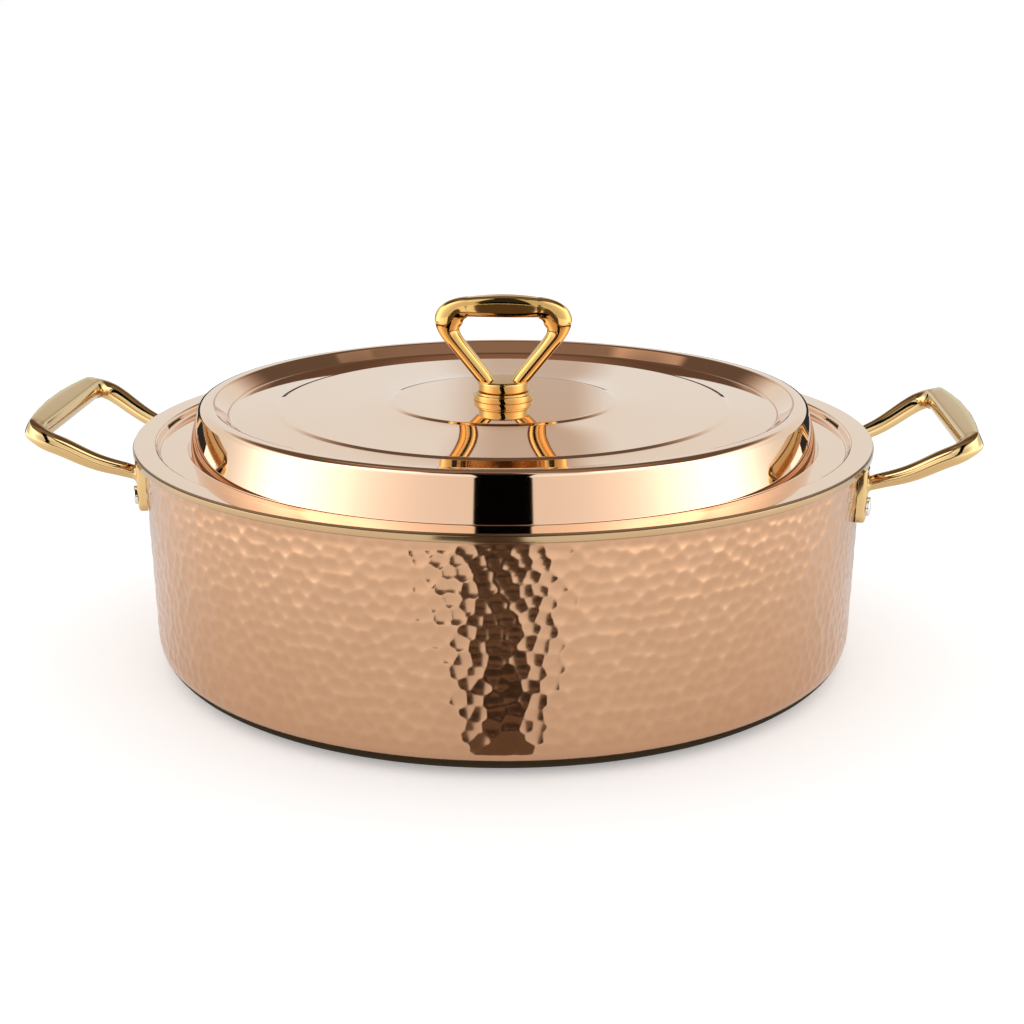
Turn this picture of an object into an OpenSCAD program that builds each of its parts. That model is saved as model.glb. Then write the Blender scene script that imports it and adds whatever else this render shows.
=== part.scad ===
// Round serving pan with riveted loop handles and a stepped lift-off lid.
// The origin is the centre of the base, on the table, with +Z up and the handles along X.

/* [Pan] */
// Height from the table to the top of the lip
pan_h = 97.5; // [60:0.5:150]
// Outer radius that the leaning wall would reach at the table
wall_r_base = 152.7; // [120:0.5:170]
// How far the wall leans out from the table to the lip
wall_splay = 2.8; // [0:0.1:12]
// Radius of the round corner between base and wall
base_round = 15.5; // [6:0.5:30]
// How far the lip is turned out beyond the wall
lip_w = 4.3; // [3:0.1:8]
// Radius of the bend under the lip
lip_bend = 1.8; // [1:0.1:2.8]
// Thickness of the outer shell
shell_t = 0.6; // [0.4:0.1:1.2]
// Thickness of the heat-spreading core
core_t = 1.6; // [0.8:0.1:3]
// Thickness of the lining
liner_t = 0.6; // [0.4:0.1:1.2]

/* [Lid] */
// Thickness of the lid's sheet
lid_t = 0.9; // [0.6:0.1:1.5]
// How far the pan's lip shows beyond the flange
lip_show = 0.6; // [0.2:0.1:2]
// Gap between the lid's locating step and the pan's mouth
step_gap = 2.1; // [0.8:0.1:5]
// Depth of the gutter below the top of the flange
gutter_d = 3.6; // [2.5:0.1:6]
// Width of the gutter between the lid's wall and the flange
gutter_w = 13; // [10:0.5:20]
// Height of the rim above the top of the flange
rim_h = 15; // [9:0.1:30]
// How far the lid's wall leans in from foot to rim
lid_lean = 5.5; // [1:0.5:12]
// Width of the raised rim, over the top
rim_w = 6; // [4:0.1:7]
// Width of the slope from the rim down to the panel
slope_w = 6.5; // [5:0.1:14]
// Depth of the panel's edge below the rim
panel_drop = 4.7; // [2:0.1:6]
// Width of the panel's lowest flat, from its edge to the outer raised step
outer_flat = 21.4; // [14:0.2:28]
// Width of the flat between the outer raised step and the raised disc
inner_flat = 49.3; // [36:0.1:56]
// Height of each raised step
step_h = 0.55; // [0.3:0.05:1]
// Fall of the panel from the outer raised step to its edge
outer_fall = 1; // [0:0.1:2]
// Fall of the panel from the raised disc to the outer raised step, steepest beside the disc
inner_fall = 1.2; // [0.2:0.1:2]

/* [Side handles] */
// Angle between a handle's foot and the handle's middle line
foot_angle = 13.5; // [11:0.5:16]
// Width of a foot beyond its rivet's head or its leg, on each side
foot_side = 0.8; // [0.6:0.1:3]
// Thickness of a foot
foot_t = 3.8; // [3:0.1:7]
// Height of the rivet above the lower end of a foot
rivet_up = 7; // [6.5:0.1:9.5]
// Gap between a rivet's head and the fillet under its leg
head_gap = 0.4; // [0.2:0.1:2]
// Height of a foot above its leg
foot_top = 4.8; // [2:0.1:7]
// Gap between the lip and the top of a foot
foot_gap = 1.3; // [0.3:0.1:4]
// Thickness of a leg at its foot
leg_d = 6.2; // [5:0.1:8.5]
// How much thicker a leg is at its corner than at its foot
leg_taper = 2; // [0:0.1:2.5]
// How far a leg dips below the straight line from its foot to its corner
leg_dip = 1.4; // [0:0.1:3]
// Radius of the fillet where a leg meets its foot
leg_fillet = 1.8; // [1:0.1:3]
// Distance from the lip to the middle of the grip
grip_reach = 34.8; // [26:0.2:50]
// Half the distance between the handle's corners
grip_half = 51.5; // [44:0.5:64]
// Height of the grip's middle above the lip
grip_rise = 7.8; // [0:0.2:18]
// Width of the grip, seen from above
grip_w = 9; // [7:0.1:11]
// Radius of the handle's corners, at the middle of the bar
corner_r = 7.5; // [7.5:0.5:12]
// Extra width on the inside of the handle's corners
corner_fill = 1.4; // [0:0.1:1.6]
// How far the grip bows outward in the middle
grip_bow = 2.6; // [0:0.1:4]

/* [Rivets] */
// Diameter of a rivet's shank
rivet_d = 4.8; // [3:0.1:5.5]
// Diameter of a rivet's outer head
rivet_head_d = 8; // [6.5:0.1:9.5]
// Height of a rivet's outer head
rivet_head_h = 1.8; // [1:0.1:3]
// Diameter of the flattened head inside the pan
rivet_tail_d = 9; // [6.5:0.1:12]
// Height of the flattened head inside the pan
rivet_tail_h = 1.1; // [0.6:0.1:2]

/* [Knob] */
// Diameter of the collar
collar_d = 26; // [23:0.5:36]
// Height of the collar
collar_h = 3.7; // [2.5:0.1:8]
// Diameter of the neck above the collar
neck_d = 22; // [20:0.1:22.6]
// Height of the straight part of the neck
neck_h = 4; // [3:0.1:7]
// Diameter of the spigot that passes through the collar
spigot_d = 14; // [10:0.1:16]
// Height of the knob's bar above the collar, at its middle line
bar_up = 36.2; // [26:0.5:60]
// Half the distance between the knob's corners
bar_half = 32.6; // [28:0.2:38]
// Gap between the knob's legs where they leave the neck
leg_gap = 4.4; // [3:0.1:6]
// Thickness of the knob's legs, seen from the front
knob_leg_w = 7; // [5:0.1:8]
// Thickness of the knob's bar, seen from the front
knob_bar_w = 7.4; // [6:0.1:8]
// Depth of the knob's legs, front to back
knob_leg_t = 7.6; // [5:0.1:10]
// Radius of the knob's corners, at the middle of the bar
knob_corner_r = 8; // [7:0.1:10]
// Extra thickness of the knob's corners, on each side of the middle
knob_corner_fill = 2.8; // [0:0.1:3.2]
// How far the bar's top is arched
bar_arch = 1.9; // [0:0.1:5]
// How much deeper the bar is than the legs
bar_swell = 2.8; // [0:0.1:5]

/* [Knob screw] */
// Diameter of the screw
screw_d = 5; // [4:0.5:6]
// Depth of the screw in the knob
screw_grip = 6; // [4:0.1:6.5]
// Diameter of the screw's head
screw_head_d = 9.5; // [8.5:0.1:12]
// Height of the screw's head
screw_head_h = 3.3; // [2:0.1:5]
// Outer diameter of the flat washer
washer_d = 13; // [11.5:0.5:18]
// Thickness of the flat washer
washer_t = 1; // [0.6:0.1:2]
// Outer diameter of the split spring washer
spring_d = 9.2; // [8.4:0.1:11]
// Thickness of the split spring washer
spring_t = 1.2; // [0.8:0.1:2]

/* [Clearances] */
// Radial clearance of a rivet in its holes
rivet_fit = 0.05; // [0.02:0.01:0.2]
// Radial clearance of the screw in the lid and the washers
screw_fit = 0.3; // [0.1:0.05:0.5]
// Radial clearance of the screw in the knob
thread_fit = 0.05; // [0.02:0.01:0.1]
// Radial clearance of the spigot in the collar
spigot_fit = 0.1; // [0.05:0.05:0.4]
// Gap that keeps flat seats clear of a curved wall
seat_gap = 0.04; // [0.02:0.01:0.1]

/* [Hidden] */
$fn = 128;

copper = [0.85, 0.62, 0.48];
gold = [0.93, 0.75, 0.42];
steel = [0.80, 0.80, 0.80];
pale_metal = [0.88, 0.87, 0.86];

// Pan, from the lip down
sheet_t = shell_t + core_t + liner_t;
lip_z = pan_h - sheet_t;
wall_r_lip = wall_r_base + wall_splay;
lip_r = wall_r_lip + lip_w;
lean = atan(wall_splay / lip_z);
mouth_r = wall_r_lip - sheet_t / cos(lean);
hem_t = shell_t;
pan_path = [[0, 0, 0], [wall_r_base, 0, base_round], [wall_r_lip, lip_z, lip_bend], [lip_r, lip_z, 0]];

// Lid, from the lip inwards and up
flange_z = pan_h + lid_t;
flange_r = lip_r - lip_show;
riser_r = mouth_r - step_gap - lid_t;
lid_foot_r = riser_r - gutter_w;
rim_z = flange_z + rim_h;
rim_r = lid_foot_r - lid_lean;
rim_inner_r = rim_r - rim_w;
panel_r = rim_inner_r - slope_w;
panel_z = rim_z - panel_drop;
outer_step_r = panel_r - outer_flat;
disc_r = outer_step_r - inner_flat;
step_run = 2.4;
inner_run = inner_flat - step_run;
fall_reach = 15;
fall_steps = 8;
disc_z = panel_z + outer_fall + inner_fall + 2 * step_h;
gutter_z = flange_z - gutter_d;
riser_lean = 0.8;
screw_hole_r = screw_d / 2 + screw_fit;
bend_soft = 6;
bend_crisp = 1.7;
bend_cove = 3.2;
rim_bend = rim_w * 0.66;
function fallen(t) = (1 - exp(-t * inner_run / fall_reach)) / (1 - exp(-inner_run / fall_reach));
lid_path = concat(
    [[screw_hole_r, disc_z, 0], [disc_r, disc_z, bend_soft]],
    [for (i = [0 : fall_steps])
        let (t = i / fall_steps)
        [disc_r + step_run + inner_run * t, disc_z - step_h - inner_fall * fallen(t),
         i % fall_steps == 0 ? bend_soft : 0]],
    [[outer_step_r + step_run, panel_z + outer_fall, bend_soft],
     [panel_r, panel_z, bend_cove],
     [rim_inner_r, rim_z, rim_bend],
     [rim_r, rim_z, rim_bend],
     [lid_foot_r, gutter_z, bend_cove],
     [riser_r - riser_lean, gutter_z, bend_crisp],
     [riser_r, flange_z, bend_crisp],
     [flange_r, flange_z, 0]]);

// Side handles: a foot's own axes are u outward from the wall, v along it and w up it
leg_r = leg_d / 2;
leg_above_rivet = rivet_head_d / 2 + head_gap + leg_fillet + leg_r;
foot_h = rivet_up + leg_above_rivet + leg_r + foot_top;
foot_w = max(leg_d, rivet_head_d) + 2 * foot_side;
rivet_z = lip_z - foot_gap - foot_h + rivet_up;
foot_wall_r = wall_r_base + rivet_z * tan(lean);
foot_round = 3.6;
foot_edge = 1.6;
leg_sink = 1.2;
grip_x = lip_r + grip_reach;
grip_z = pan_h + grip_rise;
leg_top_flare = 0.35;
seat_turn = 3;
leg_crowding = 1.6;
head_crown = 0.55;
rivet_tail_gap = pow(rivet_tail_d / 2, 2) / (2 * mouth_r) + seat_gap;

// Knob, from the lid's disc up
collar_top = disc_z + collar_h;
neck_top = collar_top + neck_h;
bar_z = collar_top + bar_up;
leg_in = (knob_leg_w + leg_gap) / 2;
saddle_rise = 0.9;
knob_leg_sink = 1.4;
arch_fall = 2.2;
knob_square = 0.5;
fill_reach = knob_corner_r * 0.65;
screw_top = disc_z + screw_grip;

// Steps along the swept bars
ring_sides = 20;
leg_steps = 10;
corner_steps = 8;
half_grip_steps = 6;
arc_steps = 7;
grip_square = 1.6;

function unit(v) = v / norm(v);
function mix(a, b, t) = a + (b - a) * t;
function smooth(t) = let (c = min(1, max(0, t))) c * c * (3 - 2 * c);
function left(v) = [-v.y, v.x];
function flat(p) = [p.x, p.y];
function turned(a, p) = [p.x * cos(a) - p.y * sin(a), p.x * sin(a) + p.y * cos(a), p.z];

// Points of one rounded corner of a path, from the side of a to the side of c
function corner(a, b, c) =
    let (in = unit(flat(b) - flat(a)), out = unit(flat(c) - flat(b)),
         side = sign(cross(in, out)), turn = acos(min(1, in * out)),
         start = flat(b) - in * (b.z * tan(turn / 2)),
         centre = start + left(in) * (side * b.z))
    b.z == 0 ? [flat(b)]
    : [for (i = [0 : arc_steps])
        let (a = side * turn * i / arc_steps, spoke = start - centre)
        centre + [spoke.x * cos(a) - spoke.y * sin(a), spoke.x * sin(a) + spoke.y * cos(a)]];

// A path of [x, y, corner radius] as points, with its corners rounded
function rounded(p) =
    let (last = len(p) - 1)
    concat([flat(p[0])], [for (i = [1 : last - 1]) each corner(p[i - 1], p[i], p[i + 1])], [flat(p[last])]);

// The same path moved to its left by d, with each corner's radius following
function beside(p, d) =
    let (last = len(p) - 1,
         way = [for (i = [0 : last - 1]) unit(flat(p[i + 1]) - flat(p[i]))])
    [for (i = [0 : last])
        let (in = way[max(0, i - 1)], out = way[min(last - 1, i)],
             shift = (left(in) + left(out)) * (d / (1 + in * out)))
        [p[i].x + shift.x, p[i].y + shift.y, p[i].z == 0 ? 0 : p[i].z - sign(cross(in, out)) * d]];

function reversed(p) = [for (i = [len(p) - 1 : -1 : 0]) p[i]];

// A path with its outer end moved to radius r
function ending(p, r) = [for (i = [0 : len(p) - 1]) i < len(p) - 1 ? p[i] : [r, p[i].y, p[i].z]];

// One layer of sheet between two depths beside a path, spun round
module spun_sheet(path, from, to) {
    rotate_extrude()
        polygon(concat(rounded(beside(path, from)), reversed(rounded(beside(path, to)))));
}

// Places its children at a foot: x outward from the wall, y along it, z up it from the rivet
module at_foot(angle) {
    rotate([0, 0, angle])
        translate([foot_wall_r, 0, rivet_z])
            rotate([0, lean, 0])
                children();
}

foot_angles = [foot_angle, -foot_angle, 180 + foot_angle, 180 - foot_angle];

// The holes that the rivets pass through
module rivet_holes() {
    reach = sheet_t + foot_t + rivet_head_d;
    for (a = foot_angles)
        at_foot(a)
            rotate([0, 90, 0])
                cylinder(r = rivet_d / 2 + rivet_fit, h = 2 * reach, center = true);
}

module pan_shell() {
    color(copper) difference() {
        union() {
            spun_sheet(pan_path, 0, shell_t);
            rotate_extrude()
                polygon([[lip_r - hem_t, lip_z], [lip_r, lip_z], [lip_r, pan_h], [lip_r - hem_t, pan_h]]);
        }
        rivet_holes();
    }
}

module pan_core() {
    color(steel) difference() {
        spun_sheet(ending(pan_path, lip_r - hem_t), shell_t, shell_t + core_t);
        rivet_holes();
    }
}

module pan_liner() {
    color(steel) difference() {
        spun_sheet(ending(pan_path, lip_r - hem_t), shell_t + core_t, sheet_t);
        rivet_holes();
    }
}

// A point of the front foot, from its own axes to the part's
function foot_point(u, v, w) =
    let (x = foot_wall_r + u * cos(lean) + w * sin(lean), z = rivet_z - u * sin(lean) + w * cos(lean))
    turned(-foot_angle, [x, v, z]);

// Half a loop's middle line, from its foot at [0, -foot] round the corner at [tall, -wide] to y = 0.
// Each entry is [along the loop, across it, direction, distance from the foot, share of grip, bow].
function half_loop(foot, wide, tall, round) =
    let (leg = [tall, foot - wide], way = atan2(leg.y, leg.x),
         cut = round * tan((90 - way) / 2),
         leg_len = norm(leg) - cut,
         arc_start = [0, -foot] + unit(leg) * leg_len,
         centre = arc_start + round * [-sin(way), cos(way)],
         grip_y = centre.y)
    concat(
        [for (i = [0 : leg_steps - 1])
            let (l = leg_len * pow(i / leg_steps, leg_crowding), p = [0, -foot] + unit(leg) * l)
            [p.x, p.y, way, l, 0, 0]],
        [for (i = [0 : corner_steps])
            let (a = mix(way, 90, i / corner_steps))
            [centre.x + round * sin(a), centre.y - round * cos(a), a,
             leg_len + round * (a - way) * PI / 180, i / corner_steps, 0]],
        [for (i = [1 : half_grip_steps])
            let (t = i / half_grip_steps)
            [tall, grip_y * (1 - t), 90, leg_len + 2 * cut - grip_y * t, 1, t * (2 - t)]]);

// The whole loop: the half and its mirror image
function whole_loop(half) =
    let (n = len(half))
    concat(half, [for (i = [n - 2 : -1 : 0])
        let (h = half[i]) [h.x, -h.y, 180 - h.z, h[3], h[4], h[5]]]);

// One ring of a bar: half sizes out, in, up and down along the axes across and high, squarer as k grows
function ring(centre, across, high, out, in, up, down, k) =
    [for (i = [0 : ring_sides - 1])
        let (a = 360 * i / ring_sides, c = cos(a), s = sin(a),
             x = sign(c) * pow(abs(c), 2 / k) * (c > 0 ? out : in),
             y = sign(s) * pow(abs(s), 2 / k) * (s > 0 ? up : down))
        centre + across * x + high * y];

// A solid bar through a list of rings
module bar(rings) {
    n = ring_sides;
    last = len(rings) - 1;
    sides = [for (r = [0 : last - 1]) for (i = [0 : n - 1])
        let (a = r * n + i, b = r * n + (i + 1) % n, c = a + n, d = b + n)
        each [[a, b, c], [b, d, c]]];
    caps = concat([for (i = [1 : n - 2]) [0, i + 1, i]],
                  [for (i = [1 : n - 2]) [last * n, last * n + i, last * n + i + 1]]);
    polyhedron(points = [for (r = rings) each r], faces = concat(sides, caps));
}

// The swept bar of a side handle: round legs that flare into the feet and thicken to the corners, a squarer
// grip that bows outward
module handle_bar() {
    foot = foot_point(foot_t - leg_sink, 0, leg_above_rivet);
    rise = [grip_x - foot.x, 0, grip_z - foot.z];
    along = unit(rise);
    high = [-along.z, 0, along.x];
    wide = [0, 1, 0];
    foot_up = foot_point(0, 0, 1) - foot_point(0, 0, 0);
    foot_out = foot_point(0, -1, 0) - foot_point(0, 0, 0);
    settle = seat_turn * leg_r;
    side_room = foot_w / 2 - leg_r - foot_edge / 2;
    half = half_loop(-foot.y, grip_half, norm(rise), corner_r);
    leg_end = half[leg_steps][3];
    corner_at = half[leg_steps + corner_steps / 2][3];
    rings = [for (p = whole_loop(half))
        let (side = p.y < 0 ? 1 : -1,
             out_way = along * sin(p.z) - wide * cos(p.z),
             at_seat = [foot_out.x, foot_out.y * side, 0],
             t = smooth(p[3] / settle),
             from_face = min(leg_fillet, max(0, p[3] - leg_sink)),
             flare = leg_fillet - sqrt(pow(leg_fillet, 2) - pow(leg_fillet - from_face, 2)),
             dip = leg_dip * pow(sin(180 * min(1, p[3] / leg_end)), 2),
             fill = corner_fill * exp(-pow((p[3] - corner_at) / corner_r, 2)),
             half_t = leg_r + leg_taper / 2 * smooth(p[3] / leg_end),
             half_w = mix(half_t, grip_w / 2, smooth(p[4])) + max(0, min(flare, side_room)))
        ring([foot.x, 0, foot.z - dip] + along * p.x + wide * p.y,
             unit(mix(at_seat, out_way, t)), unit(mix(foot_up, high, t)),
             half_w + grip_bow * p[5], half_w + fill,
             half_t + flare * leg_top_flare, half_t + flare, 2 + grip_square * p[4])];
    bar(rings);
}

// A foot: a plate with round corners, drawn from the front, the side and above
module handle_foot() {
    low = -rivet_up;
    high = foot_h - rivet_up;
    half = foot_w / 2;
    front = [[0, low, 0], [half, low, foot_round], [half, high, foot_edge], [0, high, 0]];
    side = [[seat_gap, low, 0], [foot_t, low, foot_edge], [foot_t, high, foot_edge], [seat_gap, high, 0]];
    top = [[seat_gap, -half, 0], [foot_t, -half, foot_edge], [foot_t, half, foot_edge], [seat_gap, half, 0]];
    edge = rounded(front);
    intersection() {
        rotate([90, 0, 90])
            linear_extrude(height = foot_t)
                polygon(concat(edge, [for (p = reversed(edge)) [-p.x, p.y]]));
        translate([0, half, 0])
            rotate([90, 0, 0])
                linear_extrude(height = foot_w)
                    polygon(rounded(side));
        translate([0, 0, low])
            linear_extrude(height = foot_h)
                polygon(rounded(top));
    }
}

// The right-hand handle; the left-hand one is its mirror image
module handle() {
    difference() {
        union() {
            for (a = [foot_angle, -foot_angle])
                at_foot(a)
                    handle_foot();
            handle_bar();
        }
        rivet_holes();
    }
}

module handle_right() {
    color(gold) handle();
}

module handle_left() {
    color(gold) mirror([1, 0, 0]) handle();
}

// A rivet along z, with its outer head's seat at z = 0 and its tail inside the pan
module rivet() {
    head_r = rivet_head_d / 2;
    tail_r = rivet_tail_d / 2;
    shank_r = rivet_d / 2;
    seat = -foot_t - sheet_t - rivet_tail_gap;
    rotate_extrude()
        polygon(rounded([
            [0, seat - rivet_tail_h, 0], [tail_r, seat - rivet_tail_h, rivet_tail_h / 2], [tail_r, seat, 0],
            [shank_r, seat, 0], [shank_r, 0, 0], [head_r, 0, 0],
            [head_r, rivet_head_h, rivet_head_h * head_crown],
            [0, rivet_head_h, 0]]));
}

module rivet_at(angle) {
    color(pale_metal)
        at_foot(angle)
            translate([foot_t, 0, 0])
                rotate([0, 90, 0])
                    rivet();
}

module lid_shell() {
    color(copper) spun_sheet(lid_path, 0, -lid_t);
}

module knob_collar() {
    bore_r = spigot_d / 2 + spigot_fit;
    half_h = collar_h / 2;
    top_r = (collar_d + neck_d) / 4;
    edge = (collar_d / 2 - top_r) / 2;
    color(gold) rotate_extrude()
        polygon(rounded([
            [bore_r, disc_z, 0], [collar_d / 2, disc_z, 0], [collar_d / 2, collar_top - half_h / 2, edge],
            [top_r, collar_top - half_h / 2, edge / 2], [top_r, collar_top, edge / 2],
            [bore_r, collar_top, 0]]));
}

// The swept bar of the knob: two legs that lean out and an arched bar
module knob_bar() {
    foot_z = neck_top - knob_leg_sink;
    tall = bar_z - foot_z;
    half = half_loop(leg_in, bar_half, tall, knob_corner_r);
    corner_at = half[leg_steps + corner_steps / 2][3];
    rings = [for (p = whole_loop(half))
        let (out_way = [-cos(p.z), 0, sin(p.z)],
             grip = smooth(p[4]), fill = knob_corner_fill * exp(-pow((p[3] - corner_at) / fill_reach, 2)),
             lift = grip * max(0, 1 - arch_fall * pow(p.y / bar_half, 2)),
             half_w = mix(knob_leg_w, knob_bar_w, grip) / 2 + fill,
             half_t = (knob_leg_t + bar_swell * lift + fill) / 2,
             t = smooth(p[3] / knob_leg_w),
             at_neck = [sign(p.y), 0, 0])
        ring([p.y, 0, foot_z + p.x], unit(mix(at_neck, out_way, t)), [0, 1, 0],
             half_w + bar_arch * lift, half_w, half_t, half_t, 2 + knob_square * p[4])];
    bar(rings);
}

module knob_loop() {
    neck_r = neck_d / 2;
    edge = 1;
    hole_top = screw_top + screw_d / 4;
    color(gold) difference() {
        union() {
            rotate_extrude()
                polygon(rounded([
                    [0, disc_z, 0], [spigot_d / 2, disc_z, 0], [spigot_d / 2, collar_top, 0],
                    [neck_r, collar_top, edge], [neck_r, neck_top, edge],
                    [neck_r - saddle_rise, neck_top + saddle_rise, edge / 2],
                    [0, neck_top + saddle_rise, 0]]));
            knob_bar();
        }
        translate([0, 0, disc_z - screw_d])
            cylinder(r = screw_d / 2 + thread_fit, h = hole_top - disc_z + screw_d);
    }
}

module knob_washer() {
    color(steel)
        translate([0, 0, disc_z - lid_t - washer_t])
            difference() {
                cylinder(d = washer_d, h = washer_t);
                translate([0, 0, -washer_t])
                    cylinder(r = screw_hole_r, h = 3 * washer_t);
            }
}

module knob_spring_washer() {
    split = 12;
    color(steel)
        translate([0, 0, disc_z - lid_t - washer_t - spring_t])
            rotate_extrude(angle = 360 - split)
                translate([screw_hole_r, 0])
                    square([spring_d / 2 - screw_hole_r, spring_t]);
}

module knob_screw() {
    seat = disc_z - lid_t - washer_t - spring_t;
    head_r = screw_head_d / 2;
    shank_r = screw_d / 2;
    tip = 0.5;
    color(steel) rotate_extrude()
        polygon(rounded([
            [0, seat - screw_head_h, 0], [head_r, seat - screw_head_h, screw_head_h / 2], [head_r, seat, 0],
            [shank_r, seat, 0], [shank_r, screw_top - tip, 0], [shank_r - tip, screw_top, 0],
            [0, screw_top, 0]]));
}

pan_shell();
pan_core();
pan_liner();
handle_left();
handle_right();
rivet_at(180 + foot_angle);  // rivet_left_front
rivet_at(180 - foot_angle);  // rivet_left_back
rivet_at(-foot_angle);  // rivet_right_front
rivet_at(foot_angle);  // rivet_right_back
lid_shell();
knob_collar();
knob_loop();
knob_screw();
knob_spring_washer();
knob_washer();
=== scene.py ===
"""Looks of a lidded serving pan: hammered wall, mirror lid, cast handles and knob, satin lining."""

import math

import bpy
import numpy as np
from bpy.props import FloatProperty, FloatVectorProperty, IntProperty, PointerProperty
from mathutils import Matrix, Vector


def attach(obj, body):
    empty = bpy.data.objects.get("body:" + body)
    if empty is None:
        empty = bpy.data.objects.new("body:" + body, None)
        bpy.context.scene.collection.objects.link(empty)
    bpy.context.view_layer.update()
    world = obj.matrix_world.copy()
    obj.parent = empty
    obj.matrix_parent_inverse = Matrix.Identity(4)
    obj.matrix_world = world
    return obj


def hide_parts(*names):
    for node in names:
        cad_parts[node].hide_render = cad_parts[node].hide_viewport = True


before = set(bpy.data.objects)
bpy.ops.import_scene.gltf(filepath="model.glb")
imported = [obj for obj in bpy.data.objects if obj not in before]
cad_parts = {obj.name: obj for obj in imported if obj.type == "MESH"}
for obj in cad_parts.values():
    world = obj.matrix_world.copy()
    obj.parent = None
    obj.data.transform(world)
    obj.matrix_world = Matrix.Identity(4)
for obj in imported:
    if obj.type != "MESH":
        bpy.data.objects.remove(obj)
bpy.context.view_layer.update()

bl_info = {
    "name": "Serving pan looks",
    "version": (1, 0, 0),
    "blender": (4, 5, 0),
    "location": "3D View > Sidebar > Serving pan",
    "description": "Dresses a lidded serving pan: hammered wall, stamped mirror lid, cast handles and knob",
    "category": "Object",
}

SMOOTH_ANGLE = math.radians(38)
BEND_STEP = math.radians(6)
FINE_BEND_STEP = math.radians(4)
TINY = 1e-4


def length(label, text, value):
    """A size in metres."""
    return FloatProperty(name=label, description=text, default=value, unit="LENGTH", precision=5)


def angle(label, text, degrees):
    """An angle, written in degrees."""
    return FloatProperty(name=label, description=text, default=math.radians(degrees), subtype="ANGLE")


def share(label, text, value):
    """A plain number."""
    return FloatProperty(name=label, description=text, default=value, precision=4)


def soft_edge(label, text, start, end):
    """Where a soft edge starts and where it ends."""
    return FloatVectorProperty(name=label, description=text, default=(start, end), size=2, precision=4)


def tint(label, text, value):
    """A colour as linear red, green and blue."""
    return FloatVectorProperty(name=label, description=text, default=value, subtype="COLOR", size=3)


class PanSizes(bpy.types.PropertyGroup):
    """Sizes of the clad pan and of its hammer blows."""

    height: length("Height", "Top of the turned-out lip above the table", 0.0975)
    base_radius: length("Base radius", "Wall radius run down to the table", 0.1527)
    splay: length("Splay", "How much wider the wall is at the lip", 0.0028)
    base_round: length("Base corner", "Radius of the corner between base and wall", 0.0155)
    lip_width: length("Lip width", "How far the lip turns out", 0.0043)
    lip_bend: length("Lip bend", "Radius of the bend under the lip", 0.0018)
    shell: length("Shell", "Copper layer", 0.0006)
    core: length("Core", "Heat-spreading layer", 0.0016)
    lining: length("Lining", "Steel layer inside", 0.0006)
    lip_edge: length("Lip edge", "Rounding of the lip's outer edge", 0.0007)
    pitch: length("Blow pitch", "Distance between hammer blows", 0.0061)
    face: length("Hammer face", "Radius of the hammer's crowned face", 0.02)
    crest: length("Crest", "How softly neighbouring blows meet", 0.000022)
    scatter: share("Scatter", "How unevenly the blows fall, against the pitch", 0.3)
    smooth_top: length("Smooth top", "Plain band left under the lip", 0.001)
    smooth_base: length("Smooth base", "Plain height left above the table", 0.0095)
    blow_fade: length("Blow fade", "Height over which the blows run out", 0.0035)
    grid: length("Grid", "Size of a facet of the wall", 0.0007)
    turns: IntProperty(name="Turns", description="Facets round the wall", default=1440)


class LidSizes(bpy.types.PropertyGroup):
    """Sizes of the stamped lid."""

    sheet: length("Sheet", "Thickness of the lid's sheet", 0.0009)
    lip_show: length("Lip shown", "How far the pan's lip stands out past the flange", 0.0006)
    step_gap: length("Gap", "Room between the lid's riser and the pan's mouth", 0.0021)
    gutter_depth: length("Gutter depth", "Drop from the flange to the gutter", 0.0036)
    gutter_width: length("Gutter width", "Width of the gutter", 0.013)
    rim_height: length("Rim height", "Height of the rim over the flange", 0.0153)
    wall_lean: length("Wall lean", "How far the wall leans in", 0.0055)
    rim_width: length("Rim width", "Width of the rim's top", 0.006)
    slope_width: length("Slope width", "Width of the slope inside the rim", 0.0065)
    panel_drop: length("Panel drop", "Depth of the panel's edge under the rim", 0.005)
    outer_flat: length("Outer flat", "Width of the panel's outer flat", 0.0214)
    inner_flat: length("Inner flat", "Width of the panel's inner flat", 0.0493)
    step_height: length("Step height", "Height of each step of the panel", 0.00055)
    step_run: length("Step run", "Width of each step of the panel", 0.0024)
    outer_fall: length("Outer fall", "Fall of the outer flat", 0.001)
    inner_fall: length("Inner fall", "Fall of the inner flat, steepest beside the disc", 0.0012)
    fall_reach: length("Fall reach", "Distance over which the inner fall eases off", 0.015)
    riser_lean: length("Riser lean", "Lean of the riser outside the gutter", 0.0008)
    hole_radius: length("Hole", "Radius of the screw hole", 0.0028)
    bend_soft: length("Soft bend", "Bend of the panel's steps", 0.006)
    bend_crisp: length("Crisp bend", "Bends of the riser and the flange", 0.0017)
    bend_cove: length("Cove bend", "Bend at the foot of the slope", 0.0032)
    bend_foot: length("Foot bend", "Bend at the foot of the wall", 0.0005)
    bend_rim: length("Rim bend", "Bends of the rim to the wall and to the slope", 0.0035)
    turns: IntProperty(name="Turns", description="Facets round the lid", default=720)


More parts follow.
